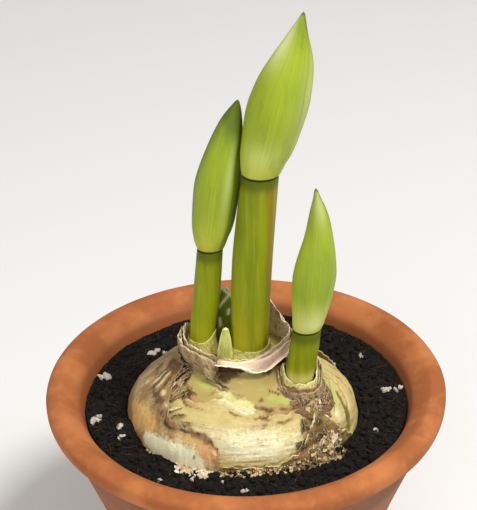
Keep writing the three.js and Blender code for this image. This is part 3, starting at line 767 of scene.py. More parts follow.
def stroke_depth(place):
    """How deep a point of the bulb lies in the shallow lines, from 0 to about 1."""
    angle = bulb_angle(place)
    if not -146 < angle < -46:
        return 0
    full = Vector(bulb_place(angle, min(place[2] - POT_HEIGHT, BULB_PROFILE[-1][0]), 0))
    here = full + 0.9 * noise.noise_vector(full / 2.4)
    patchy = min(1.3, max(0, 0.8 + 1.3 * noise.noise(full / 3.5)))
    deepest = 0
    for width, strength, path in STROKE_PLACES:
        for first, second in zip(path, path[1:]):
            run = second - first
            share = min(1, max(0, (here - first).dot(run) / run.length_squared))
            away = (here - first - share * run).length / width
            if away < 2.5:
                deepest = max(deepest, strength * math.exp(-away * away))
    return deepest * patchy


def torn_top(edge, angle, tear, seed):
    """Height of a scale's torn top edge."""
    full = bulb_place(angle, along(edge, angle), 0)
    torn = along(edge, angle) + tear * ragged(full, 3.4, seed)
    return min(torn, BULB_PROFILE[-1][0] + 0.2)


def core_place(u, v):
    """The bulb's body, from the middle of its base round to the middle of its nose."""
    angle = 360 * u - 180
    if v < 0.03:
        return ring_place(angle, BULB_PROFILE[0][1] * v / 0.03, BULB_PROFILE[0][0])
    if v > 0.94:
        share = (v - 0.94) / 0.06
        x, y, height = ring_place(angle, (NOSE_WIDTH - 0.4) * (1 - share), NOSE_TOP)
        rings = 0.5 * math.sin(16 * share) + 0.5 * ragged((x, y, 0), 3, 5)
        return x, y, height - smooth(0, 0.2, share) * (0.9 - rings * (1 - share))
    if v > 0.88:
        share = (v - 0.88) / 0.06
        x, y, height = ring_place(angle, NOSE_WIDTH - 0.2 * share, blend(NOSE_FOOT - 0.2, NOSE_TOP, share))
        return x, y, height
    if v < 0.14:
        height = blend(BULB_PROFILE[0][0], -13, (v - 0.03) / 0.11)
    else:
        height = blend(-13, BULB_PROFILE[-1][0], (v - 0.14) / 0.74)
    full = bulb_place(angle, height, 0)
    out = layer_out(3, height, full) * (1 - smooth(15.6, 17.4, height) * 0.7)
    return bulb_place(angle, height, out + wrinkles(full, 0.35) * smooth(-14, -8, height))


def scale_layer(name, layer, edge, start, end, foot, thick, lift, tear, columns, rows):
    """A scale wrapped on the bulb from its foot to a torn top edge, which lifts a little."""
    def place(u, v):
        angle = blend(start, end, u)
        top = torn_top(edge, angle, tear, layer + 2)
        height = blend(foot, top, v)
        here = bulb_place(angle, height, 0)
        free = smooth(3.2, 0, top - height)
        curl = lift * free * (0.4 + 0.9 * abs(ragged(here, 7, layer + 9)))
        sunk = crease_depth(angle, height) + 0.5 * stroke_depth(here)
        return bulb_place(angle, height, layer_out(layer, height, here) + curl + wrinkles(here, 0.5) - sunk)

    piece = grid_piece(name, columns, rows, place, ring=end - start == 360)
    modify(piece, "SOLIDIFY", thickness=thick * MM, offset=-1, use_rim=True)
    return piece


def root_piece(angle, draw):
    """A stout root: rings drawn out from the base plate into the soil, thinner to its tip."""
    reach = draw.uniform(19, 28)
    low = BULB_PROFILE[0][0]
    path = [ring_place(angle, radius, height) for radius, height in [
        (8, low + 3), (10, low - 1), (12 + 0.3 * reach, low - 0.5 * reach), (12 + 0.5 * reach, low - reach)]]
    bpy.ops.mesh.primitive_circle_add(vertices=8, radius=1.5 * MM, fill_type="NGON")
    piece = bpy.context.object
    piece.data.transform(Matrix.Translation(Vector(path[0]) * MM) @ Matrix.Rotation(math.pi, 4, "X"))
    bpy.ops.object.mode_set(mode="EDIT")
    bpy.ops.mesh.select_all(action="SELECT")
    for before, after in zip(path, path[1:]):
        move = (Vector(after) - Vector(before)) * MM
        bpy.ops.mesh.extrude_region_move(TRANSFORM_OT_translate={"value": move})
        bpy.ops.transform.resize(value=(0.75, 0.75, 0.75), center_override=Vector(after) * MM)
    bpy.ops.object.mode_set(mode="OBJECT")
    modify(piece, "SUBSURF", levels=1, render_levels=1)
    return piece


def flesh(name, light, deep, span, rim=0.35):
    """Waxy scale flesh. Growth lines run round it and veins up it, the painted places have broken
    edges, and its torn top edge, span mm above its foot, is a pale line over a brown one."""
    material, place, uv = new_finish(name)

    def read(name):
        return place.node("Attribute", {"attribute_name": name}, output="Fac")

    rings = place.stretched(0.12, 0.12, 1).cloud(0.8, detail=5, rough=0.7, warp=0.5)
    veins = place.stretched(1, 1, 0.1).cloud(1.3, detail=4, rough=0.6)
    blotches = place.cloud(7, detail=5, rough=0.65)
    crumbs = place.cloud(1.2, detail=5, rough=0.75)
    grain = (crumbs + rings + 0.6 * blotches - 1.3) * PAINT_GRAIN

    def patch(name):
        return (read(name) + grain).step(0.3, 0.75)

    tint = (read("bright") + 1.4 * grain).step(0.2, 0.95).mix(colour(*deep), colour(*light))
    tint = (blotches.step(0.48, 0.62) * 0.35).mix(tint, colour(*STREAK_TAN))
    tint = (rings.step(0.5, 0.66) * (0.22 + 0.5 * blotches)).mix(tint, colour(*STREAK_TAN))
    tint = ((crumbs + 0.5 * blotches).step(0.8, 0.96) * 0.5).mix(tint, colour(*SCALE_TAN))
    tint = (patch("green") * (0.3 + 0.8 * veins)).mix(tint, colour(*SCALE_GREEN))
    tint = (patch("tan") * 0.85).mix(tint, colour(*SCALE_TAN))
    tint = (patch("rust") * 0.8).mix(tint, colour(*SCALE_RUST))
    tint = (patch("olive") * (0.6 + 0.5 * veins)).mix(tint, colour(*SCALE_OLIVE))
    streaky = veins.step(0.42, 0.6).mix(colour(*PAPER_DARK), colour(*PAPER_LIGHT))
    tint = (patch("paper") * 0.9).mix(tint, streaky)
    # Painted shade: olive-brown darkening in the folds down the right side.
    tint = (read("fold").step(0.1, 0.6) * 0.9).mix(tint, colour(*FOLD_SHADE_OLIVE))
    line = read("stroke") + 0.6 * grain
    tint = (line.step(0.15, 0.7) * 0.85).mix(tint, colour(*LINE_BROWN))
    tint = (line.step(0.7, 1.3) * 0.8).mix(tint, colour(*BARK_BROWN))
    reach = (1 - uv.part(1)) * span
    tint = ((reach + 3 * crumbs - 1.5).step(1.7, 0.5) * 0.45).mix(tint, colour(*SCALE_TAN))
    tint = (reach.step(0.5, 0.2) * blotches.step(0.35, 0.6) * rim).mix(tint, colour(*RIM_CREAM))
    # Dark places: partly painted shade under the collar, the band and the second nose, partly dark marks on the skin.
    tint = (patch("dark") * 0.9).mix(tint, colour(*BARK_BROWN))
    gap = (read("crevice") * blotches.step(0.36, 0.62) + 0.5 * grain).step(0.2, 0.75)
    tint = (gap * 0.55).mix(tint, colour(*LINE_BROWN))
    relief = 0.6 * rings + 0.25 * veins + 0.35 * crumbs
    return connect(material, tint, 0.55 + 0.25 * crumbs, relief, 0.35,
                   {"Subsurface Weight": 0.1, "Subsurface Scale": 0.003, "Specular IOR Level": 0.35})


def paint_scale(piece, crevice):
    """Writes the places that the flesh's finish paints. The crevice rule is given angle and height."""
    for name, marks in PAINT.items():
        mark(piece, name, lambda place, marks=marks: spots(marks, place))
    mark(piece, "fold", lambda place: crease_depth(bulb_angle(place), place[2] - POT_HEIGHT))
    mark(piece, "stroke", stroke_depth)
    mark(piece, "crevice", lambda place: crevice(bulb_angle(place), place[2] - POT_HEIGHT))


def over_edge(edge, tear, seed):
    """A rule for the dirt and shadow that gather just above a torn edge of the scale outside."""
    def crevice(angle, height):
        above = height - torn_top(edge, angle, tear, seed)
        return math.exp(-(((above - 0.1) / 0.5) ** 2))
    return crevice


core = grid_piece("core", CORE_COLUMNS, CORE_ROWS, core_place, ring=True)
draw = random.Random(17)
roots = [root_piece(360 * k / 9 + draw.uniform(-15, 15), draw) for k in range(9)]
core = join_as("bulb_core", [core] + roots)
paint_scale(core, over_edge(INNER_EDGE, 0.5, 4))
soften(core, 60)
hand_over(core, flesh("bulb_core_flesh", (204, 190, 122), (160, 142, 80), 200), "bulb_flesh", "bulb")

inner_scale = scale_layer("bulb_scale_inner", 2, INNER_EDGE, -180, 180, 6, 0.6, 0.6, 0.5, 400, 32)
paint_scale(inner_scale, over_edge(OUTER_EDGE, 0.8, 3))
soften(inner_scale, 60)
hand_over(inner_scale, flesh("inner_scale_flesh", (218, 206, 142), (168, 150, 84), 10), "bulb_flesh")

outer_scale = scale_layer("bulb_scale_outer", 1, OUTER_EDGE, -180, 180, -13, 0.8, 0.9, 0.8, 420, 54)
paint_scale(outer_scale, over_edge(SHRED_EDGE, 1.5, 2))
soften(outer_scale, 60)
hand_over(outer_scale, flesh("outer_scale_flesh", CREAM, CREAM_DEEP, 25), "bulb_flesh")

shreds = scale_layer("bulb_dry_shreds", 0, SHRED_EDGE, -112, -14, -12, 0.4, 1.0, 1.5, 280, 30)
paint_scale(shreds, over_edge([(-180, 40), (180, 40)], 0, 0))
soften(shreds, 60)
hand_over(shreds, flesh("dry_shred", (190, 164, 112), (124, 98, 56), 8, rim=0.8), "bulb_flesh")

# ---------------------------------------------------------------- clinging scraps
# Torn bits of old skin that still cling to the bulb: brown ones by the upper left edge, and a
# jumble of pale and dark ones round and under the second nose.

SCRAPS = [  # angle, height, half-width, half-height, lift, turn, tone
    (-146, 12.4, 2.8, 1.3, 0.9, 40, 0.5), (-152, 10.8, 2.4, 1.2, 0.8, 60, 0.85), (-143, 10.6, 3.4, 0.8, 0.7, 35, 0.45),
    (-137, 8.2, 3.6, 0.5, 0.6, 30, 0.75), (-131, 7.2, 2.6, 0.5, 0.6, 15, 0.35), (-138, 12.4, 2.2, 0.7, 0.7, 10, 0.2),
    (-124, 5.9, 2.6, 0.6, 0.8, 10, 0.5), (-143, 15.6, 2, 0.8, 0.8, 60, 0.3),
    (-48, 12.4, 2.6, 0.7, 1, 20, 0.15), (-42, 13.6, 2.4, 0.8, 1.2, -10, 0.7), (-38, 11.6, 2.4, 0.9, 1.1, 35, 0.2),
    (-45, 10.8, 2.2, 0.7, 1, 10, 0.5), (-32, 13.2, 2.2, 0.8, 1.2, 40, 0.2), (-50, 9.7, 2.2, 0.6, 0.9, 5, 0.1),
    (-40, 9.4, 2, 0.9, 1, 30, 0.4), (-34, 10.2, 1.8, 1, 1, 60, 0.75), (-30, 11.8, 1.6, 1, 1.1, 70, 0.2),
    (-44, 8.3, 2.8, 0.6, 0.9, 15, 0.35), (-37, 7.2, 2.4, 0.6, 0.9, -15, 0.15), (-55, 11, 2, 0.5, 0.8, -5, 0.4),
    (-24, 14, 1.6, 1, 1.1, 80, 0.3), (-20, 12.2, 1.6, 0.9, 1, 80, 0.15), (-27, 9.6, 1.6, 0.9, 0.9, 75, 0.35),
    (-33, 8.2, 2, 0.8, 0.9, 30, 0.8), (-16, 13.4, 1.6, 0.8, 1, 80, 0.6), (-36, 13, 1.6, 0.7, 1.2, 20, 0.45),
    (-50, -1.2, 2.4, 1.1, 0.8, 30, 0.1), (-56, -0.2, 1.4, 1.4, 0.8, 60, 0.2), (-43, -2.8, 2.2, 1.3, 1, 40, 0.5),
    (-61, -3.6, 2, 1.1, 0.8, 45, 0.1), (-50, -5, 2.2, 1.4, 1.1, 70, 0.6), (-40, -5.4, 2, 1.3, 1.1, 50, 0.8),
    (-57, -6.2, 2.2, 1.1, 1, 20, 0.25), (-66, -6.6, 2.6, 0.8, 1, 10, 0.5), (-35, -2, 1.4, 1.6, 0.9, 60, 0.55),
    (-53, -8, 2.2, 1.2, 1.2, 20, 0.75), (-46, -8.4, 2, 1.2, 1.3, 60, 0.5), (-38, -8, 2.2, 1, 1.2, 40, 0.85),
    (-31, 12.4, 2.6, 1, 1.3, 60, 0.05), (-40, 11.3, 3, 0.9, 1.3, 20, 0.1), (-48, 11, 2.8, 0.7, 1.1, 5, 0.15),
    (-34, 9.6, 2.2, 1, 1.1, 50, 0.1), (-28, 14.4, 2.4, 0.9, 1.3, 30, 0.5), (-41, 8.2, 2.6, 1.4, 1, 40, 0.65),
    (-158, 17, 3, 0.8, 1, 50, 0.05), (-150, 16.4, 2.6, 0.8, 1, 40, 0.1), (-168, 16.8, 3, 0.8, 0.9, 20, 0.2),
    (-153, 14.8, 2.6, 0.9, 0.9, 70, 0.1), (-162, 14.6, 2.6, 0.6, 0.9, 75, 0.75), (-146, 13, 2.2, 0.8, 0.9, 60, 0.2),
    (-57, 4, 2.4, 0.8, 0.9, 70, 0.05), (-53, 1.4, 2.2, 0.9, 0.9, 60, 0.15), (-47, 4.4, 2, 0.9, 0.9, 30, 0.2),
    (-59, -1.4, 2.2, 0.9, 0.9, 50, 0.1), (-44, 0, 2, 1.1, 1, 70, 0.3), (-48, -3.4, 2.6, 1, 1.1, 30, 0.7),
    (-44, -7, 3.4, 1.2, 1.6, 70, 0.75), (-38, -6.4, 3, 1.1, 1.7, 60, 0.1), (-50, -6.6, 3, 1, 1.4, 50, 0.05),
    (-56, -5, 2.6, 0.9, 1.2, 40, 0.6), (-41, -3.8, 3, 1, 1.5, 80, 0.9), (-35, -4.6, 2.6, 0.9, 1.3, 60, 0.3),
    (60, 13, 4, 1.6, 0.8, 0, 0.4), (110, 14, 5, 1.4, 0.8, 10, 0.6), (20, 12, 3, 1.4, 0.8, -20, 0.7)]
SCRAP_DARK = (62, 40, 18)
SCRAP_BROWN = (140, 104, 62)
SCRAP_PALE = (232, 214, 172)


def scrap_piece(angle, height, wide, tall, lift, turn, tone, seed):
    """A ragged flake that follows the bulb in its middle and stands off at its border."""
    side, rise = math.cos(math.radians(turn)), math.sin(math.radians(turn))
    radius = along(BULB_PROFILE, height)

    def place(u, v):
        across, up = 2 * u - 1, 2 * v - 1
        border = max(abs(across), abs(up))
        shrink = border / max(math.hypot(across, up), 1e-6)
        ragging = 1 + 0.7 * noise.noise(Vector((across * 2.2, up * 2.2, seed * 2.7)))
        x = wide * across * shrink * ragging
        y = tall * up * shrink * ragging
        x, y = x * side - y * rise, x * rise + y * side
        level = min(height + y * 0.85, BULB_PROFILE[-1][0])
        around = angle + math.degrees(x / radius)
        here = bulb_place(around, level, 0)
        curl = lift * border**2 * (0.5 + noise.noise(Vector((across, up, seed))))
        return bulb_place(around, level, layer_out(0.4, level, here) + curl)

    piece = grid_piece("scrap", 16, 10, place)
    modify(piece, "SOLIDIFY", thickness=0.28 * MM, offset=1, use_rim=True)
    mark(piece, "tone", lambda _: tone)
    return piece


def scrap_finish(name):
    """Dry skin from dark brown to cream by its tone, with veins, flecks and a pale torn edge."""
    material, place, uv = new_finish(name)
    tone = place.node("Attribute", {"attribute_name": "tone"}, output="Fac")
    veins = place.stretched(1, 1, 0.2).cloud(0.9, detail=4, rough=0.65)
    flecks = place.cloud(1.1, detail=5, rough=0.7)
    shade = tone + 0.9 * flecks - 0.45 + 0.5 * veins - 0.25
    tint = shade.step(0.1, 0.5).mix(colour(*SCRAP_DARK), colour(*SCRAP_BROWN))
    tint = shade.step(0.45, 0.85).mix(tint, colour(*SCRAP_PALE))
    across = (uv.part(0) * 2 - 1).size()
    border = across.math("MAXIMUM", across, (uv.part(1) * 2 - 1).size())
    tint = ((border + 0.4 * flecks).step(1.08, 1.22) * 0.45).mix(tint, colour(*SCRAP_PALE))
    return connect(material, tint, 0.7 + 0.2 * flecks, veins + 0.5 * flecks, 0.35)


scraps = join_as("clinging_scraps", [scrap_piece(*row, k) for k, row in enumerate(SCRAPS)])
soften(scraps, 60)
hand_over(scraps, scrap_finish("scrap_skin"), "pale_tunic")

# ---------------------------------------------------------------- outer tunic
# The bulb's brown papery skin, dead and dry. It still hugs the left side and the back, is torn
# off in front, and is so thin and damp near the soil on the left that the flesh shows pale.

TUNIC_THICK = 0.5
TUNIC_LIFT = 1.1
TUNIC_START = 30
TUNIC_END = 256.5
TUNIC_FOOT = -28
TUNIC_SPREAD = 1.6  # rows gather towards the torn edge
TUNIC_EDGE = [
    (30, -12), (40, -2), (55, 5), (75, 9), (100, 12.5), (133, 15.4), (150, 16.8), (165, 17.2), (190, 17.2),
    (203, 17), (209, 15.6), (213, 12.6), (219, 8.6), (229, 5), (242, 4.2), (251, 3.2), (256, 0), (262, -2)]
TUNIC_PAINT = {
    "pale": [(-127, -6.2, 14, 4.8, 1.5), (-142, -5.4, 7, 3, 1.2), (-116, -8.4, 7, 3, 0.9)],
    "copper": [(-109, -3.4, 7, 4.6, 1.5)],
    "tan": [(-154, 0, 15, 5, 1.3), (-120, 1.2, 11, 1.6, 1)],
    "light": [
        (-168, 11.6, 2, 3.4, 1), (-160, 12.4, 1.5, 3, 1), (-151, 10.6, 4, 0.9, 1), (-143, 8.8, 4, 0.8, 0.9),
        (-175, 8, 3, 4, 0.6)],
    "dark": [
        (-136, 3.9, 3, 1.3, 1), (-131, 3.2, 3, 1, 0.9), (-115, 4.4, 3.4, 1, 1), (-105, 2.4, 3.6, 1.7, 1.3),
        (-123, 3.9, 5, 0.6, 0.9), (-115, -4.6, 1, 1.6, 0.7), (-120, -9.8, 1.4, 0.7, 1.2),
        (-156, 16.4, 8, 1.8, 1.2), (-164, 12.8, 1.4, 3.4, 1.1), (-155, 13.4, 2, 3.4, 1.2), (-174, 16, 12, 1.6, 1),
        (-148, 14, 2.4, 1.6, 1), (-169, 14, 2, 2.6, 0.8),
        (-148, 8.6, 6, 1.4, 0.9), (-160, 8.8, 7, 1.6, 0.7), (178, 11, 14, 2.4, 0.7), (-142, 6, 5, 1.2, 0.8),
        (-103.5, -2, 1, 4, 0.7), (-150, 5.4, 1.4, 2.4, 0.5)]}
TUNIC_BROWN = (144, 108, 62)
TUNIC_DARK = (78, 54, 20)
TUNIC_GREY = (184, 162, 120)
TUNIC_LIGHT = (220, 196, 148)
TUNIC_TAN = (212, 172, 100)
TUNIC_PALE = (255, 248, 210)
TUNIC_GREEN = (244, 246, 204)
TUNIC_COPPER = (220, 168, 112)


def tunic_place(u, v):
    """The skin on the bulb, rippled up and down, with a torn edge that stands off a little."""
    angle = blend(TUNIC_START, TUNIC_END, u)
    full = bulb_place(angle, along(TUNIC_EDGE, angle), 0)
    top = along(TUNIC_EDGE, angle) + 0.9 * ragged(full, 2.6, 4)
    height = blend(TUNIC_FOOT, top, 1 - (1 - v) ** TUNIC_SPREAD)
    here = bulb_place(angle, height, 0)
    free = smooth(3.4, 0, top - height)
    ripple = 0.3 * noise.noise(Vector((here[0] * 0.5, here[1] * 0.5, here[2] * 0.06)))
    dents = 0.25 * noise.noise(Vector(here) / 5)
    loose = smooth(212, 222, angle) + smooth(150, 120, angle)
    curl = TUNIC_LIFT * free * loose * (0.15 + abs(ragged(full, 6, 8)))
    side = 1.2 * smooth(250, TUNIC_END, angle) * max(0, 0.3 + ragged(here, 4, 3))
    return bulb_place(angle, height, 0.95 + ripple + dents + max(curl, side))


def tunic_finish():
    """Dry skin: brown and grey with fine veins up it and a dark, flecked, torn edge. Near the soil
    in front it is thin, so that it shows pale, tan and coppery places."""
    material, place, uv = new_finish("tunic_papery")

    def read(name):
        return place.node("Attribute", {"attribute_name": name}, output="Fac")

    veins = place.stretched(1, 1, 0.09).cloud(1.1, detail=5, rough=0.65)
    blotches = place.stretched(1, 1, 0.5).cloud(6, detail=5, rough=0.65)
    flecks = place.cloud(1.4, detail=5, rough=0.75)
    grain = (flecks + 0.8 * blotches + 0.6 * veins - 1.2) * 0.9
    tint = (blotches + 0.5 * veins).step(0.6, 0.95).mix(colour(*TUNIC_BROWN), colour(*TUNIC_GREY))
    tint = (veins.step(0.55, 0.7) * 0.6).mix(tint, colour(*TUNIC_DARK))
    tint = (read("light") + 1.3 * grain).step(0.3, 0.8).mix(tint, colour(*TUNIC_LIGHT))
    tint = (read("tan") + grain).step(0.2, 0.8).mix(tint, colour(*TUNIC_TAN))
    tint = (read("copper") + grain).step(0.3, 0.7).mix(tint, colour(*TUNIC_COPPER))
    bleached = blotches.step(0.4, 0.62).mix(colour(*TUNIC_PALE), colour(*TUNIC_GREEN))
    tint = (veins.step(0.5, 0.62) * 0.2).mix(tint, colour(*TUNIC_BROWN))
    bleached = (flecks.step(0.52, 0.74) * 0.45).mix(bleached, colour(*TUNIC_LIGHT))
    tint = (read("pale") + 1.4 * flecks + 0.9 * blotches - 1.15).step(0.1, 0.85).mix(tint, bleached)
    above = 1 - uv.part(1)
    reach = above.math("POWER", above, TUNIC_SPREAD) * 38
    torn = (reach + 5 * flecks - 2.5).step(1.6, 0.2)
    tint = (torn * 0.6).mix(tint, colour(*TUNIC_BROWN))
    tint = ((read("dark") + 1.7 * grain).step(0.35, 0.85) * 0.9).mix(tint, colour(*TUNIC_DARK))
    tint = (reach.step(0.35, 0.1) * 0.5).mix(tint, colour(*TUNIC_GREY))
    return connect(material, tint, 0.6 + 0.25 * flecks, 0.8 * veins + 0.5 * flecks, 0.4)


tunic = grid_piece("outer_tunic_papery", 370, 44, tunic_place)
modify(tunic, "SOLIDIFY", thickness=TUNIC_THICK * MM, offset=-1, use_rim=True)
for name, marks in TUNIC_PAINT.items():
    mark(tunic, name, lambda place, marks=marks: spots(marks, place))
soften(tunic, 60)
hand_over(tunic, tunic_finish(), "brown_tunic", "outer_tunic")

# ---------------------------------------------------------------- neck collar
# The torn ring of old leaf bases round the bulb's nose, dry as paper. A leathery scale covers
# its left front. To the right of that it is turned down in a pale band over a dark gap, and
# at the left and behind it still stands up in ragged flaps.

COLLAR_EDGE = [  # angle, height of the ring's ragged edge
    (0, 28.4), (18, 29.4), (30, 31), (40, 33.8), (49, 36.4), (56, 36), (63, 32), (75, 27), (110, 25),
    (145, 26.5), (163, 30),
    (180, 28.3), (200, 26.4), (215, 26.2), (230, 25.6), (242, 24.8), (252, 23.8), (269, 22.9), (282, 23.4),
    (295, 24.2), (304, 25.4), (317, 27), (330, 27.8), (345, 28.2), (360, 28.4)]
COLLAR_LEAN = [  # angle, how far the edge stands outside the ring's foot
    (0, 0.2), (42, -0.8), (90, 0.8), (163, 0.2), (200, 0.6), (245, 0.9), (280, 0.6), (310, 0.4), (360, 0.2)]
SCALE_FOOT = [
    (163, 17.4), (174, 17), (181, 16.9), (197, 17.5), (207, 17.9), (218, 17.6), (226, 17.2), (235, 16.6), (243, 16),
    (249, 15.5), (256, 15), (264, 14.8)]
BAND_TOP = [(252, 23.8), (261, 23.3), (269, 23), (282, 23.5), (295, 24.8), (304, 25.8), (317, 27.6), (331, 28.6)]
BAND_LIP = [
    (252, 22.4), (262, 22), (272, 21.2), (281, 19.2), (287, 18.2), (295, 18.8), (306, 21.2), (318, 24.2), (331, 26.8)]
COLLAR_ROWS = 22
COLLAR_COLUMNS = 270
COLLAR_THICK = 0.45
PAPER = (212, 190, 156)
PAPER_CREAM = (236, 218, 172)
PAPER_MAUVE = (136, 106, 84)
PAPER_BROWN = (84, 56, 28)
HOLLOW_BROWN = (62, 38, 12)
BAND_CREAM = (248, 226, 190)
BAND_MAUVE = (178, 142, 130)
LIP_WHITE_HIGHLIGHT = (255, 246, 218)


def collar_sheet(name, inset, rise, seed):
    """One torn paper ring that climbs the nose and leans out to a ragged edge."""
    def place(u, v):
        angle = 360 * u
        foot = ring_place(angle, NOSE_WIDTH, NOSE_FOOT)
        torn = 0.7 * ragged(foot, 2.4, seed) + 0.45 * ragged(foot, 0.9, seed + 3)
        rim = along(COLLAR_EDGE, angle) + rise + torn
        pleat = 0.6 * v * noise.noise(Vector((foot[0] * 0.6, foot[1] * 0.6, seed)))
        radius = NOSE_WIDTH + 1.1 - inset + along(COLLAR_LEAN, angle) * v**1.4 + pleat
        return ring_place(angle, radius, blend(NOSE_FOOT + 0.3, rim, v))

    piece = grid_piece(name, COLLAR_COLUMNS, COLLAR_ROWS, place, ring=True)
    modify(piece, "SOLIDIFY", thickness=COLLAR_THICK * MM, offset=-1, use_rim=True)
    return piece


def neck_scale_place(u, v):
    """The scale on the left front: from its torn foot on the bulb up to the collar's edge."""
    end = 247 + 5 * v * v + 15 * (1 - v) ** 3 + 1.2 * ragged((0, 0, 9 * v), 1.5, 2)
    angle = blend(163, end, u)
    torn = 0.35 * ragged(ring_place(angle, 20, 0), 2.6, 12)
    low = bulb_place(angle, along(SCALE_FOOT, angle) + torn, -0.4)
    top_torn = 0.5 * ragged(ring_place(angle, 20, 0), 2, 1)
    stand = blend(0.6, 1.9, smooth(0, 0.2, u))
    top = along(COLLAR_EDGE, angle) + top_torn - 0.3
    high = ring_place(angle, NOSE_WIDTH + stand + along(COLLAR_LEAN, angle), top)
    fold = 0.4 * noise.noise(Vector((angle * 0.12, v * 1.2, 4))) + 0.3 * math.sin(0.4 * angle + 3 * v)
    turn = math.radians(angle)
    out = (0.5 * math.sin(math.pi * v) + fold) * smooth(0, 0.15, v) * smooth(0, 0.2, u)
    return (blend(low[0], high[0], v) + out * math.cos(turn), blend(low[1], high[1], v) + out * math.sin(turn),
            blend(low[2], high[2], v))


def band_place(u, v):
    """The turned-down band: over its crest, out and down, and up again in a curled lip."""
    angle = blend(251, 331, u)
    foot = ring_place(angle, NOSE_WIDTH, NOSE_FOOT)
    torn = 0.5 * ragged(foot, 2.6, 21)
    top = along(BAND_TOP, angle)
    lip = along(BAND_LIP, angle) + torn
    if v < 0.2:
        share = v / 0.2
        return ring_place(angle, NOSE_WIDTH + 0.7 + 0.8 * share, blend(top - 2.5, top, math.sin(share * math.pi / 2)))
    share = (v - 0.2) / 0.8
    drop = smooth(0, 0.9, share)
    pleat = 0.7 * share * noise.noise(Vector((foot[0] * 0.4, foot[1] * 0.4, 9)))
    ridge = 0.35 * math.sin(9 * share + 0.12 * angle) * smooth(0, 0.3, share)
    radius = NOSE_WIDTH + 1.5 + 3.4 * share**0.8 + pleat + ridge + 0.6 * smooth(0.85, 1, share)
    lift = 0.8 * smooth(0.8, 1, share)
    return ring_place(angle, radius, blend(top, lip, drop) + lift)


def paper_finish(name, light, mid, stain, lip=PAPER_CREAM, foot_dark=0.75, slant=0.0):
    """Old leaf base: paper in ribs, stained in streaks, dark at the foot, with a pale torn lip."""
    material, place, uv = new_finish(name)
    up = uv.part(1)
    fibre = uv.part(0) + up * slant
    ribs = fibre.node("CombineXYZ", inputs={0: fibre, 1: up * 0.03}).cloud(0.009, detail=3, rough=0.6)
    streaks = fibre.node("CombineXYZ", inputs={0: fibre, 1: up * 0.15}).cloud(0.04, detail=5, rough=0.7)
    flecks = place.cloud(1.3, detail=5, rough=0.75)
    tint = (streaks + 0.4 * flecks).step(0.5, 0.85).mix(colour(*mid), colour(*light))
    tint = (ribs.step(0.54, 0.7) * 0.4).mix(tint, colour(*stain))
    tint = (streaks.step(0.5, 0.36) * 0.85).mix(tint, colour(*stain))
    tint = ((flecks + 0.5 * streaks).step(0.76, 0.92) * 0.7).mix(tint, colour(*PAPER_BROWN))
    tint = ((up + 0.6 * flecks).step(0.62, 0.3) * foot_dark).mix(tint, colour(*PAPER_BROWN))
    edge = (up + 0.25 * flecks).step(1.02, 1.12) * streaks.step(0.35, 0.6)
    tint = (edge * 0.7).mix(tint, colour(*lip))
    # The hollow value is painted shade on the collar's wall under the turned-down band, and dark stains on the neck
    # scale.
    dark = place.node("Attribute", {"attribute_name": "hollow"}, output="Fac")
    tint = (dark + 0.5 * flecks - 0.25).step(0.3, 0.7).mix(tint, colour(*HOLLOW_BROWN))
    return connect(material, tint, 0.75 + 0.2 * flecks, 0.5 * ribs + 0.5 * streaks + 0.5 * flecks, 0.4)


def band_finish():
    """Whitish paper streaked along its length with mauve and brown, and a bright curled lip that is pale paper with a
    painted highlight.
    """
    material, place, uv = new_finish("band_paper")
    along_band, across = uv.part(0), uv.part(1)
    streaks = uv.stretched(0.35, 1, 0).cloud(0.09, detail=5, rough=0.65)
    flecks = place.cloud(1.2, detail=5, rough=0.7)
    tint = (streaks + 0.4 * flecks).step(0.5, 0.85).mix(colour(226, 196, 164), colour(*BAND_CREAM))
    face = across.step(0.3, 0.5) * across.step(0.85, 0.65) * along_band.step(0.3, 0.6)
    tint = (face * (streaks + 0.3 * flecks).step(0.4, 0.75)).mix(tint, colour(*BAND_MAUVE))
    groove = (across + 0.25 * streaks).step(0.3, 0.36) * (across + 0.25 * streaks).step(0.48, 0.4)
    tint = (groove * along_band.step(0.4, 0.6) * 0.8).mix(tint, colour(116, 82, 46))
    tint = ((flecks + 0.3 * streaks).step(0.72, 0.85) * 0.5).mix(tint, colour(150, 112, 80))
    end = (along_band + 0.1 * flecks).step(0.16, 0.06)
    tint = (end * 0.6).mix(tint, colour(150, 112, 92))
    # The curled lip's bright edge: pale paper with a painted highlight along it.
    tint = ((across + 0.15 * flecks).step(0.86, 0.96) * 0.9).mix(tint, colour(*LIP_WHITE_HIGHLIGHT))
    return connect(material, tint, 0.75 + 0.15 * flecks, streaks + 0.5 * flecks, 0.4)


def in_hollow(place):
    """1 on the ring's wall under the turned-down band, which lies in its deep shade."""
    angle = bulb_angle(place) % 360
    return smooth(248, 252, angle) * smooth(335, 326, angle) * smooth(2, 0.4, place[2] - POT_HEIGHT - 21.4)


def leathery(place):
    """Dark stains at the left end of the neck's scale and at its torn right end."""
    angle = bulb_angle(place) % 360
    height = place[2] - POT_HEIGHT
    left = smooth(218, 190, angle + 3 * (height - 20)) * 0.66
    right = smooth(243, 252, angle) * 0.55
    return left + right


collar = join_as("neck_collar", [
    collar_sheet("collar_outer", 0, -1.2, 1),
    collar_sheet("collar_inner", 1.1, 0.6, 6),
])
mark(collar, "hollow", in_hollow)
soften(collar, 60)
hand_over(collar, paper_finish("collar_paper", PAPER, (180, 152, 112), PAPER_MAUVE), "pale_tunic", "neck_tunic")

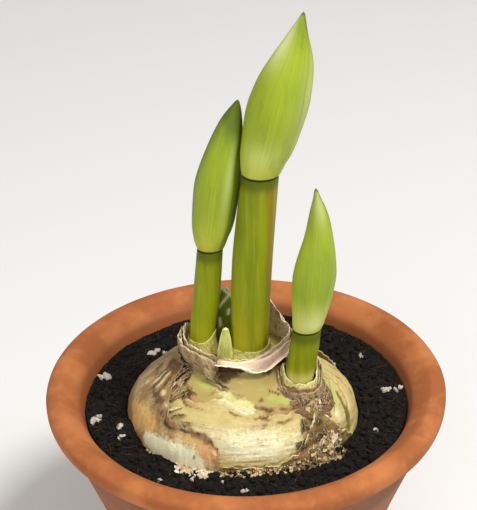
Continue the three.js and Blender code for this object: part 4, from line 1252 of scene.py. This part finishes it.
neck_scale = grid_piece("neck_scale", 160, 40, neck_scale_place)
modify(neck_scale, "SOLIDIFY", thickness=COLLAR_THICK * MM, offset=-1, use_rim=True)
mark(neck_scale, "hollow", leathery)
soften(neck_scale, 60)
scale_paper = paper_finish(
    "neck_scale_leathery", (192, 168, 122), (150, 126, 80), (84, 62, 30), lip=(230, 210, 172), foot_dark=0.35,
    slant=0.3)
hand_over(neck_scale, scale_paper, "pale_tunic")

band = grid_piece("collar_band", 170, 24, band_place)
modify(band, "SOLIDIFY", thickness=COLLAR_THICK * MM, offset=-1, use_rim=True)
soften(band, 60)
hand_over(band, band_finish(), "pale_tunic")

# ---------------------------------------------------------------- side collar
# The bulb's second nose: low torn rings of dry scale round the right stalk, one outside the
# other in steps, with one white flap left standing at the back.

SIDE_EDGE = [  # angle, height of the innermost ring's edge
    (0, 19), (12, 23.4), (24, 21), (35, 19.5), (90, 19.5), (150, 20), (178, 21.4), (200, 19.4), (225, 17.2), (270, 16.4),
    (315, 16.4), (345, 17.4), (360, 19)]
SIDE_RINGS = [  # radius, drop of the edge, raggedness, light, mid, stain and lip colours
    (6.7, 0.0, 0.5, (236, 226, 150), (208, 196, 104), (150, 130, 66), (246, 238, 190)),
    (7.7, 1.7, 0.9, (160, 126, 86), (108, 76, 42), (54, 34, 14), (210, 184, 144)),
    (8.6, 3.3, 1.0, (184, 156, 110), (126, 96, 58), (60, 40, 18), (222, 200, 152))]
SIDE_ARCS = [  # radius, from angle, to angle, height over the shoulder
    (10, -165, 28, 0.5), (11.2, -118, 8, 0.35), (12.4, -108, -12, 0.35), (13.6, -100, -36, 0.2)]


def shoulder_height(x, y):
    """Height above the pot's base of the bulb's full surface over a point of the plan."""
    low, high = -9, BULB_PROFILE[-1][0]
    for _ in range(18):
        middle = (low + high) / 2
        at_x, at_y, depth = oval_at(middle)
        if math.hypot(x - at_x, (y - at_y) / depth) < along(BULB_PROFILE, middle):
            low = middle
        else:
            high = middle
    return POT_HEIGHT + low


def side_ring(name, reach, drop, tear, seed):
    """A torn ring that rises from the bulb's shoulder and leans a little towards the stalk."""
    def place(u, v):
        angle = 360 * u
        turn = math.radians(angle)
        radius = reach + 1.1 * (1 - v) + 0.5 * noise.noise(Vector((4 * math.cos(turn), 4 * math.sin(turn), seed)))
        x = SIDE_NOSE[0] + radius * math.cos(turn)
        y = SIDE_NOSE[1] + radius * 0.9 * math.sin(turn)
        foot = shoulder_height(x, y) - 1
        torn = tear * (ragged((x, y, 0), 2.4, seed) + 0.5 * ragged((x, y, 0), 1, seed + 4))
        edge = max(POT_HEIGHT + along(SIDE_EDGE, angle) - drop + torn, foot + 1.2)
        return x, y, blend(foot, edge, v)

    piece = grid_piece(name, 200, 12, place, ring=True)
    modify(piece, "SOLIDIFY", thickness=0.4 * MM, offset=-1, use_rim=True)
    soften(piece, 60)
    return piece


def side_arc(name, reach, start, end, rise, seed):
    """A broken ridge on the shoulder outside the rings, the torn edge of one more scale."""
    def place(u, v):
        turn = math.radians(blend(start, end, u))
        radius = reach + 1.2 * (1 - v) + 0.9 * noise.noise(Vector((3 * math.cos(turn), 3 * math.sin(turn), seed)))
        x = SIDE_NOSE[0] + radius * math.cos(turn)
        y = SIDE_NOSE[1] + radius * 0.9 * math.sin(turn)
        foot = shoulder_height(x, y) - 1
        torn = 1.3 * ragged((x, y, 0), 2.6, seed) + 0.8 * ragged((x, y, 0), 1, seed + 4)
        ends = smooth(0, 0.15, u) * smooth(1, 0.85, u)
        return x, y, foot + v * max(0.4, (1 + rise + torn) * ends)

    piece = grid_piece(name, 150, 8, place)
    modify(piece, "SOLIDIFY", thickness=0.4 * MM, offset=-1, use_rim=True)
    return piece


for k, (reach, drop, tear, light, mid, stain, lip) in enumerate(SIDE_RINGS):
    ring_paper = paper_finish(f"side_collar_paper_{k}", light, mid, stain, lip)
    nodes = ["side_tunic"] if k == 0 else []
    hand_over(side_ring(f"side_collar_ring_{k}", reach, drop, tear, k + 2), ring_paper, "pale_tunic", *nodes)

arcs = join_as("side_collar_arcs", [side_arc("arc", *row, 20 + row[0]) for row in SIDE_ARCS])
soften(arcs, 60)
arc_paper = paper_finish("side_arc_paper", (156, 122, 84), (98, 68, 40), (48, 30, 12), lip=(216, 190, 152))
hand_over(arcs, arc_paper, "pale_tunic")

# ---------------------------------------------------------------- stalks
# Three hollow, fleshy flower stalks, smooth and a little flattened. They push up between the
# scales, yellow at the foot, and end in a dark ring where the bud begins.

STALK_STEPS = 16
STALK_EDGE = 0.25  # rounding of the cut top
STALK_BASE = (178, 168, 30)
STALK_GREEN = (136, 146, 6)
STALK_DEEP = (104, 116, 4)
STALK_BLUSH = (150, 104, 20)
STALK_RING = (84, 94, 0)
STALKS = [  # node, share of reddish blush
    ("flower_stalk_tall", 0.55), ("flower_stalk_left", 0.1), ("flower_stalk_right", 0.0)]


def sections(node):
    """Level sections of a CAD node from its foot up: height, middle x and y, half-width, half-depth."""
    levels = {}
    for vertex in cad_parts[node].data.vertices:
        levels.setdefault(round(vertex.co.z / MM, 2), []).append(vertex.co / MM)
    rows = []
    for height in sorted(levels):
        xs = [corner.x for corner in levels[height]]
        ys = [corner.y for corner in levels[height]]
        rows.append((height, (min(xs) + max(xs)) / 2, (min(ys) + max(ys)) / 2,
                     (max(xs) - min(xs)) / 2, (max(ys) - min(ys)) / 2))
    return rows


def section_rules(node):
    """The node's lowest and highest level, and a rule for its section at any height."""
    rows = sections(node)
    tables = [[(row[0], row[k]) for row in rows] for k in (1, 2, 3, 4)]
    return rows[0][0], rows[-1][0], lambda height: [along(table, height) for table in tables]


def stalk_piece(node):
    """A ring drawn up through the node's sections, capped at both ends and rounded."""
    low, high, section = section_rules(node)
    x, y, wide, deep = section(low)
    level = low
    bpy.ops.mesh.primitive_circle_add(vertices=24, radius=MM, fill_type="NGON")
    piece = bpy.context.object
    piece.name = node + "_fleshy"
    piece.data.transform(Matrix.Translation(Vector((x, y, low)) * MM) @ Matrix.Diagonal((wide, deep, 1, 1)))
    bpy.ops.object.mode_set(mode="EDIT")
    bpy.ops.mesh.select_all(action="SELECT")
    stops = [blend(low, high, step / STALK_STEPS) for step in range(1, STALK_STEPS)]
    for height in stops + [high - 2 * STALK_EDGE, high - STALK_EDGE / 2, high]:
        new_x, new_y, new_wide, new_deep = section(height)
        move = Vector((new_x - x, new_y - y, height - level)) * MM
        bpy.ops.mesh.extrude_region_move(TRANSFORM_OT_translate={"value": move})
        grow = (new_wide / wide, new_deep / deep, 1)
        bpy.ops.transform.resize(value=grow, center_override=Vector((new_x, new_y, height)) * MM)
        x, y, wide, deep, level = new_x, new_y, new_wide, new_deep, height
    bpy.ops.mesh.inset(thickness=STALK_EDGE * MM)
    bpy.ops.object.mode_set(mode="OBJECT")
    weld(piece, outward=True)
    modify(piece, "SUBSURF", levels=2, render_levels=2)
    soften(piece, 50)
    return piece


def stalk_finish(node, blush):
    """Waxy green: fine streaks up it, yellow at the foot, a dark ring on top, some blush."""
    material, place, _ = new_finish(node + "_skin")
    low, high, section = section_rules(node)
    height = place.part(2)
    streaks = place.stretched(1, 1, 0.04).cloud(0.9, detail=4, rough=0.6)
    broad = place.stretched(1, 1, 0.1).cloud(5, detail=2)
    specks = place.stretched(1, 1, 0.5).cloud(0.7, detail=3)
    foot = POT_HEIGHT + BULB_PROFILE[-1][0]
    tint = height.step(foot, foot + 0.45 * (high - foot)).mix(colour(*STALK_BASE), colour(*STALK_GREEN))
    tint = (broad.step(0.4, 0.65) * 0.6).mix(tint, colour(*STALK_DEEP))
    tint = (streaks.step(0.5, 0.7) * 0.35).mix(tint, colour(168, 172, 36))
    right = place.part(0).step(section(high)[0] - 2, section(high)[0] + 5)
    tint = (right * blush * broad.step(0.3, 0.6)).mix(tint, colour(*STALK_BLUSH))
    tint = (specks.step(0.64, 0.74) * 0.3).mix(tint, colour(*STALK_DEEP))
    tint = ((height + 2 * broad).step(high - 5.5, high - 0.5) * 0.9).mix(tint, colour(*STALK_RING))
    tint = (height.step(foot + 5, foot) * 0.6).mix(tint, colour(214, 206, 120))
    return connect(material, tint, 0.42 + 0.16 * streaks, 0.7 * streaks + 0.3 * specks, 0.12,
                   {"Subsurface Weight": 0.08, "Subsurface Scale": 0.003, "Specular IOR Level": 0.2})


for node, blush in STALKS:
    hand_over(stalk_piece(node), stalk_finish(node, blush), "stalk_green", node)

# ---------------------------------------------------------------- stalk sheaths
# Short pale scales that still clasp the feet of the two middle stalks inside the collar.

SHEATHS = [  # node, flare at the foot, height from the rim's crown, angle of the highest point, its rise, seed
    ("flower_stalk_tall", 3.4, 23.9, 40, 2.5, 3), ("flower_stalk_tall", 4.6, 22.6, 60, 3, 11),
    ("flower_stalk_left", 2.6, 25, -10, 3.6, 8), ("flower_stalk_left", 3.6, 24, 200, 1.5, 14)]


def sheath_piece(node, flare, height, peak, rise, seed):
    """A ragged sleeve that narrows up a stalk's foot, higher on one side."""
    section = section_rules(node)[2]

    def place(u, v):
        turn = 2 * math.pi * u
        torn = 0.5 * ragged((3 * math.cos(turn), 3 * math.sin(turn), seed), 1.6, seed)
        climb = rise * max(0, math.cos(turn - math.radians(peak))) ** 3
        level = POT_HEIGHT + blend(NOSE_TOP - 2, height + torn + climb, v)
        x, y, wide, deep = section(level)
        out = blend(flare, 0.35, smooth(0, 1, v) ** 0.6)
        return x + (wide + out) * math.cos(turn), y + (deep + out) * math.sin(turn), level

    piece = grid_piece("sheath", 96, 12, place, ring=True)
    modify(piece, "SOLIDIFY", thickness=0.5 * MM, offset=-1, use_rim=True)
    return piece


sheaths = join_as("stalk_sheaths", [sheath_piece(*sheath) for sheath in SHEATHS])
soften(sheaths, 60)
sheath_paper = paper_finish(
    "sheath_scale", (222, 214, 120), (200, 188, 92), (164, 142, 70), lip=(240, 232, 170), foot_dark=0.2)
hand_over(sheaths, sheath_paper, "bulb_flesh")

# ---------------------------------------------------------------- buds
# Each flower bud is shut in two leafy valves. One folds over the other at the seam, and both
# run up to a slender tip. Fine veins run from foot to tip.

BUD_COLUMNS = 96
BUD_ROWS = 100
VALVE_STAND = 0.55
BUD_BASE = (190, 194, 66)
BUD_LIME = (150, 169, 28)
BUD_DEEP = (112, 134, 20)
BUD_SHADE_GREY = (128, 146, 52)
BUD_SHADE_DARK = (74, 92, 6)
BUD_TIP = (80, 94, 8)
BUD_PALE_AND_HIGHLIGHT = (222, 228, 152)
BUDS = [  # node, seam's angle, angle from it to the outer valve's middle, fullness right, tip's darkness, paint
    # The deep and dark places are painted shade on sides that face away from the light or lie against the next bud,
    # darker again near the tips; the pale places are partly painted highlight along the margins and partly paler skin.
    ("flower_bud_tall", -46, -90, 0, 0.35, {
        "deep": [(5, 0.3, 34, 0.3, 0.9), (0, 0.95, 50, 0.12, 1), (-54, 0.5, 22, 0.3, 0.55)],
        "dark": [(-14, 0.97, 40, 0.07, 0.8), (10, 0.7, 16, 0.4, 0.6), (8, 0.25, 16, 0.2, 0.5)],
        "pale": [(200, 0.86, 34, 0.14, 1.3), (-34, 0.5, 26, 0.26, 0.5), (-110, 0.16, 40, 0.1, 0.35)]}),
    ("flower_bud_left", -46, -90, 1, 1.0, {
        "deep": [(-30, 0.5, 30, 0.6, 0.8), (185, 0.62, 30, 0.4, 0.8), (-60, 0.95, 80, 0.16, 0.9)],
        "dark": [(-14, 0.5, 34, 0.7, 1.0), (180, 0.6, 14, 0.5, 0.9), (-60, 0.95, 90, 0.14, 0.9)],
        "pale": [(-64, 0.55, 11, 0.24, 0.6)]}),
    ("flower_bud_right", 196, 90, 0, 0.4, {
        "deep": [(185, 0.72, 20, 0.2, 1.1), (5, 0.4, 30, 0.4, 0.8), (-70, 0.5, 60, 0.25, 0.45)],
        "dark": [(186, 0.78, 10, 0.1, 1.1), (0, 0.7, 14, 0.4, 0.6)],
        "pale": [(-70, 0.92, 40, 0.12, 0.8), (-75, 0.08, 70, 0.12, 0.7)]})]

FULL_SIDE = [  # share of the height, mm by which a bud is fuller where it lies against the next one
    (0, 0.3), (0.12, 1.1), (0.3, 1.35), (0.43, 1.15), (0.58, 0.75), (0.67, 0.58), (0.77, 0.58), (0.87, 0.35), (1, 0)]


def seam_wander(share, seam):
    """Degrees by which the overlapping margin strays from the seam's angle."""
    return 4 * math.sin(3.3 * share + seam) + 1.6 * math.sin(11 * share + seam)


def bud_radius(cut, share, angle, seam, fuller):
    """Half-width and half-depth with the soft bulges of the florets inside."""
    body = math.sin(math.pi * min(1, share * 1.15))
    bulge = 1 + 0.02 * body * math.sin(3 * angle + 4 * share + seam)
    right = fuller * max(0, math.cos(angle)) * along(FULL_SIDE, share)
    return cut[2] * bulge + right, cut[3] * bulge


def bud_piece(node, seam, side, fuller):
    """The inner valve is the whole bud a little slimmer, and the outer one is a sheet over it."""
    low, high, section = section_rules(node)

    def body(u, v):
        angle = 2 * math.pi * u
        height = blend(low, high, v)
        cut = section(height)
        wide, deep = bud_radius(cut, v, angle, seam, fuller)
        closing = smooth(0, 0.01, v) * smooth(1, 0.985, v)
        inset = 0.35 * smooth(0.02, 0.1, v) * smooth(0.97, 0.8, v)
        return (cut[0] + (wide - inset) * closing * math.cos(angle),
                cut[1] + (deep - inset) * closing * math.sin(angle), height)

    def valve(u, v):
        share = blend(0.012, 0.985, v)
        height = blend(low, high, share)
        cut = section(height)
        half = 90 + seam_wander(share, seam)
        angle = math.radians(seam + side + blend(-half, half, u))
        wide, deep = bud_radius(cut, share, angle, seam, fuller)
        margin = smooth(1, 0.9, abs(2 * u - 1))
        fade = smooth(0, 0.06, share) * smooth(1, 0.86, share)
        out = fade * VALVE_STAND * (0.55 + 0.45 * margin)
        return cut[0] + (wide + out) * math.cos(angle), cut[1] + (deep + out) * math.sin(angle), height

    inner = grid_piece("inner_valve", BUD_COLUMNS, BUD_ROWS, body, ring=True)
    outer = grid_piece("outer_valve", BUD_COLUMNS // 2, BUD_ROWS, valve)
    modify(outer, "SOLIDIFY", thickness=0.45 * MM, offset=-1, use_rim=True)
    piece = join_as(node + "_valves", [inner, outer])
    soften(piece, 50)
    return piece


def paint_bud(piece, node, seam, side, painted):
    """Writes the painted shadow line along the outer valve's margin, the bud's painted shade, and its paler places,
    which are partly painted highlight.
    """
    low, high, section = section_rules(node)

    def bud_spot(place):
        x, y, wide, deep = section(place.z)
        angle = math.degrees(math.atan2((place.y - y) / deep, (place.x - x) / wide))
        return angle, (place.z - low) / (high - low), wide

    def line(place):
        angle, share, wide = bud_spot(place)
        outward = -1 if side > 0 else 1
        for margin, facing in ((seam, outward), (seam + 2 * side, -outward)):
            at = margin + facing * seam_wander(share, seam)
            away = ((angle - at + 180) % 360 - 180) * facing * math.radians(wide)
            if abs(away) < 6:
                return math.exp(-(((away - 0.35) / 0.6) ** 2)) * smooth(0.99, 0.9, share)
        return 0

    def mottle(marks):
        def rule(place):
            angle, share, _ = bud_spot(place)
            total = 0
            for at, level, around, up, strength in marks:
                away = (angle - at + 180) % 360 - 180
                total += strength * math.exp(-((away / around) ** 2) - ((share - level) / up) ** 2)
            return total
        return rule

    mark(piece, "line", line)
    for name, marks in painted.items():
        mark(piece, name, mottle(marks))


def bud_finish(node, tip):
    """Waxy valves: pale foot, lime belly and olive tip, with fine veins."""
    material, place, uv = new_finish(node + "_skin")
    low, high, _ = section_rules(node)

    def read(name):
        return place.node("Attribute", {"attribute_name": name}, output="Fac")

    share = (place.part(2) - low) * (1 / (high - low))
    veins = uv.stretched(1, 0.02, 0).cloud(0.012, detail=4, rough=0.65)
    broad = place.stretched(1, 1, 0.22).cloud(6, detail=4)
    specks = place.cloud(0.7, detail=3)
    tint = (share + 0.2 * broad).step(0.12, 0.42).mix(colour(*BUD_BASE), colour(*BUD_LIME))
    tint = (broad.step(0.46, 0.7) * 0.4).mix(tint, colour(*BUD_DEEP))
    tint = (veins.step(0.5, 0.68) * 0.35).mix(tint, colour(184, 196, 72))
    tint = (veins.step(0.48, 0.36) * 0.3).mix(tint, colour(*BUD_DEEP))
    # Painted highlight from the pale places, painted shade from the deep and dark places, and a painted shadow line at
    # the outer valve's margin.
    tint = (read("pale") * (0.6 + 0.6 * broad)).mix(tint, colour(*BUD_PALE_AND_HIGHLIGHT))
    tint = (read("deep") * (0.5 + 0.7 * broad)).mix(tint, colour(*BUD_SHADE_GREY))
    tint = (read("dark") * (0.4 + 0.7 * broad)).mix(tint, colour(*BUD_SHADE_DARK))
    tint = ((share + 0.22 * broad).step(0.8, 1.12) * tip).mix(tint, colour(*BUD_TIP))
    tint = (share.step(0.972, 0.995) * 0.8).mix(tint, colour(70, 58, 26))
    tint = (read("line") * 0.5).mix(tint, colour(*BUD_SHADE_DARK))
    tint = (specks.step(0.64, 0.8) * 0.2).mix(tint, colour(*BUD_DEEP))
    tint = (share.step(0.02, 0) * 0.6).mix(tint, colour(96, 110, 24))
    return connect(material, tint, 0.42 + 0.14 * broad, 0.8 * veins + 0.2 * specks, 0.16,
                   {"Subsurface Weight": 0.08, "Subsurface Scale": 0.003, "Specular IOR Level": 0.3})


for node, seam, side, fuller, tip, painted in BUDS:
    bud = bud_piece(node, seam, side, fuller)
    paint_bud(bud, node, seam, side, painted)
    hand_over(bud, bud_finish(node, tip), "bud_green", node)

# ---------------------------------------------------------------- young leaves
# Two leaf tips that have only just left the bulb, between the middle stalks: a dark green one
# with a pale margin, and a pale one in front of it.

LEAVES = [  # node, slot width, thickness, curl, broadening, rise of the tip, colours of blade, vein and margin
    ("young_leaf_dark", 9, 1.5, -3, 1, 0, (112, 124, 28), (54, 70, 4), (240, 242, 190)),
    ("young_leaf_pale", 4.4, 1.5, 1, 1.4, 3.5, (206, 208, 122), (176, 184, 84), (238, 236, 160))]
LEAF_FOLDS = [  # places across and down from the tip, in mm, that the dark leaf's pale crumpled margin runs through
    [(-1.2, -0.6), (1.7, -3.6), (-2.4, -9.3)], [(1.4, -10.6), (1.1, -12.4)], [(-2.2, -14.5), (-2.1, -18)]]


def leaf_piece(node, width, thick, curl, broader, rise):
    """A strap leaf's blunt tip, a little hollowed along its middle."""
    low, high, section = section_rules(node)

    def place(u, v):
        height = blend(low, high, v)
        x, y, wide, deep = section(height)
        around = 2 * math.pi * u
        closing = smooth(0, 0.02, v) * smooth(1, 0.96, v)
        across = broader * wide * math.cos(around) * closing
        hollow = curl * (across / width) ** 2 + 0.25 * noise.noise(Vector((across, height * 0.3, 2)))
        through = (0.5 * thick * math.sin(around)) * closing + hollow
        return x + across, y + through, height + rise * v

    piece = grid_piece(node + "_blade", 64, 90, place, ring=True)
    soften(piece, 70)
    return piece


def mark_folds(piece, node):
    """Writes the pale folds on the side of the dark leaf that faces the front."""
    low, high, section = section_rules(node)
    folds = LEAF_FOLDS if node == "young_leaf_dark" else []

    def fold(place):
        x, y, wide, deep = section(place.z)
        here = Vector((place.x - section(high)[0], place.z - high))
        nearest = 9
        for path in folds:
            for first, second in zip(path, path[1:]):
                start, run = Vector(first), Vector(second) - Vector(first)
                share = min(1, max(0, (here - start).dot(run) / run.length_squared))
                nearest = min(nearest, (here - start - share * run).length)
        return math.exp(-((nearest / 0.6) ** 2)) if place.y < y else 0

    mark(piece, "fold", fold)


def leaf_finish(node, blade, vein, margin):
    """Blade with long veins, a pale margin and pale folds."""
    material, place, uv = new_finish(node + "_skin")
    veins = place.stretched(1, 1, 0.06).cloud(0.7, detail=4)
    blotches = place.cloud(3, detail=3)
    around = uv.part(0) * (2 * math.pi)
    across = around.math("COSINE", around, 0).size()
    tint = (veins.step(0.45, 0.62) * 0.7 + blotches.step(0.5, 0.7) * 0.3).mix(colour(*blade), colour(*vein))
    tint = ((veins + 0.6 * blotches).step(0.92, 1.0) * 0.6).mix(tint, colour(*margin))
    tint = ((across + 0.5 * blotches).step(0.98, 1.1) * 0.9).mix(tint, colour(*margin))
    tint = (uv.part(1).step(0.95, 0.985) * 0.9).mix(tint, colour(*margin))
    folds = place.node("Attribute", {"attribute_name": "fold"}, output="Fac")
    tint = (folds * (0.6 + 0.7 * blotches)).mix(tint, colour(*margin))
    return connect(material, tint, 0.45 + 0.15 * veins, veins, 0.15, {"Specular IOR Level": 0.3})


for node, width, thick, curl, broader, rise, *tints in LEAVES:
    leaf = leaf_piece(node, width, thick, curl, broader, rise)
    mark_folds(leaf, node)
    hand_over(leaf, leaf_finish(node, *tints), "leaf_green", node)

# ---------------------------------------------------------------- skin flakes
# Shreds of old skin, dry and whitish brown, that have come away along the soil line in front.

FLAKE_GROUPS = [  # how many, from angle, to angle, highest, how far out, smallest, largest, darkest, palest
    (90, -124, -106, 1.2, 5.5, 0.3, 0.85, 0.5, 1.1), (280, -106, -64, 2.2, 2.8, 0.15, 0.55, -0.1, 0.75),
    (110, -68, -52, 2.4, 4, 0.2, 0.6, -0.3, 0.35), (130, -56, -38, 3, 5.5, 0.25, 0.8, -0.3, 0.5),
    (14, -150, -124, 0.6, 2, 0.3, 0.6, 0.2, 0.7)]
FLAKE_BROWN = (116, 88, 54)
FLAKE_CREAM = (206, 180, 130)
FLAKE_WHITE = (240, 230, 200)


def flake_model(seed):
    """A curled scrap of papery skin, torn all round."""
    bpy.ops.mesh.primitive_grid_add(x_subdivisions=3, y_subdivisions=3, size=2)
    piece = bpy.context.object
    for vertex in piece.data.vertices:
        x, y = vertex.co.x, vertex.co.y
        round_in = max(abs(x), abs(y)) / max(math.hypot(x, y), 1e-6)
        torn = round_in * (1 + 0.8 * noise.noise(Vector((x * 1.8, y * 1.8, seed * 3.7))))
        curl = 0.25 * x * x + 0.3 * noise.noise(Vector((x, y, seed)))
        vertex.co = Vector((x * torn * 1.4, y * torn, curl)) * MM
    modify(piece, "SOLIDIFY", thickness=0.2 * MM)
    return piece


def flake_finish():
    """Brown to whitish skin, by each flake's own tone."""
    material, place, _ = new_finish("flake_paper")
    tone = place.node("Attribute", {"attribute_name": "tone"}, output="Fac")
    flecks = place.cloud(0.9, detail=4, rough=0.7)
    shade = tone + 0.7 * flecks - 0.35
    tint = shade.step(0.05, 0.4).mix(colour(*FLAKE_BROWN), colour(*FLAKE_CREAM))
    tint = shade.step(0.6, 0.95).mix(tint, colour(*FLAKE_WHITE))
    return connect(material, tint, 0.75 + 0.15 * flecks, flecks, 0.25)


draw = random.Random(23)
places = []
tones = []
for count, start, end, highest, farthest, small, large, dark, pale in FLAKE_GROUPS:
    for _ in range(count):
        angle = draw.uniform(start, end)
        out = farthest * draw.random() ** 1.6
        rise = draw.uniform(-0.4, highest) * (1 - out / farthest)
        place = bulb_place(angle, SOIL_TOP + 0.4 + rise, 0.1 + out)
        facing = Matrix.Rotation(math.radians(angle + 90 + draw.uniform(-40, 40)), 4, "Z")
        lean = Matrix.Rotation(math.radians(draw.uniform(15, 80)), 4, "X")
        twist = Matrix.Rotation(math.radians(draw.uniform(-25, 25)), 4, "Y")
        places.append((place, draw.uniform(small, large), facing @ lean @ twist))
        tones.append(draw.uniform(dark, pale))
flakes = scatter("skin_flakes", [flake_model(seed) for seed in range(6)], places, tones)
soften(flakes, 60)
hand_over(flakes, flake_finish(), "pale_tunic")
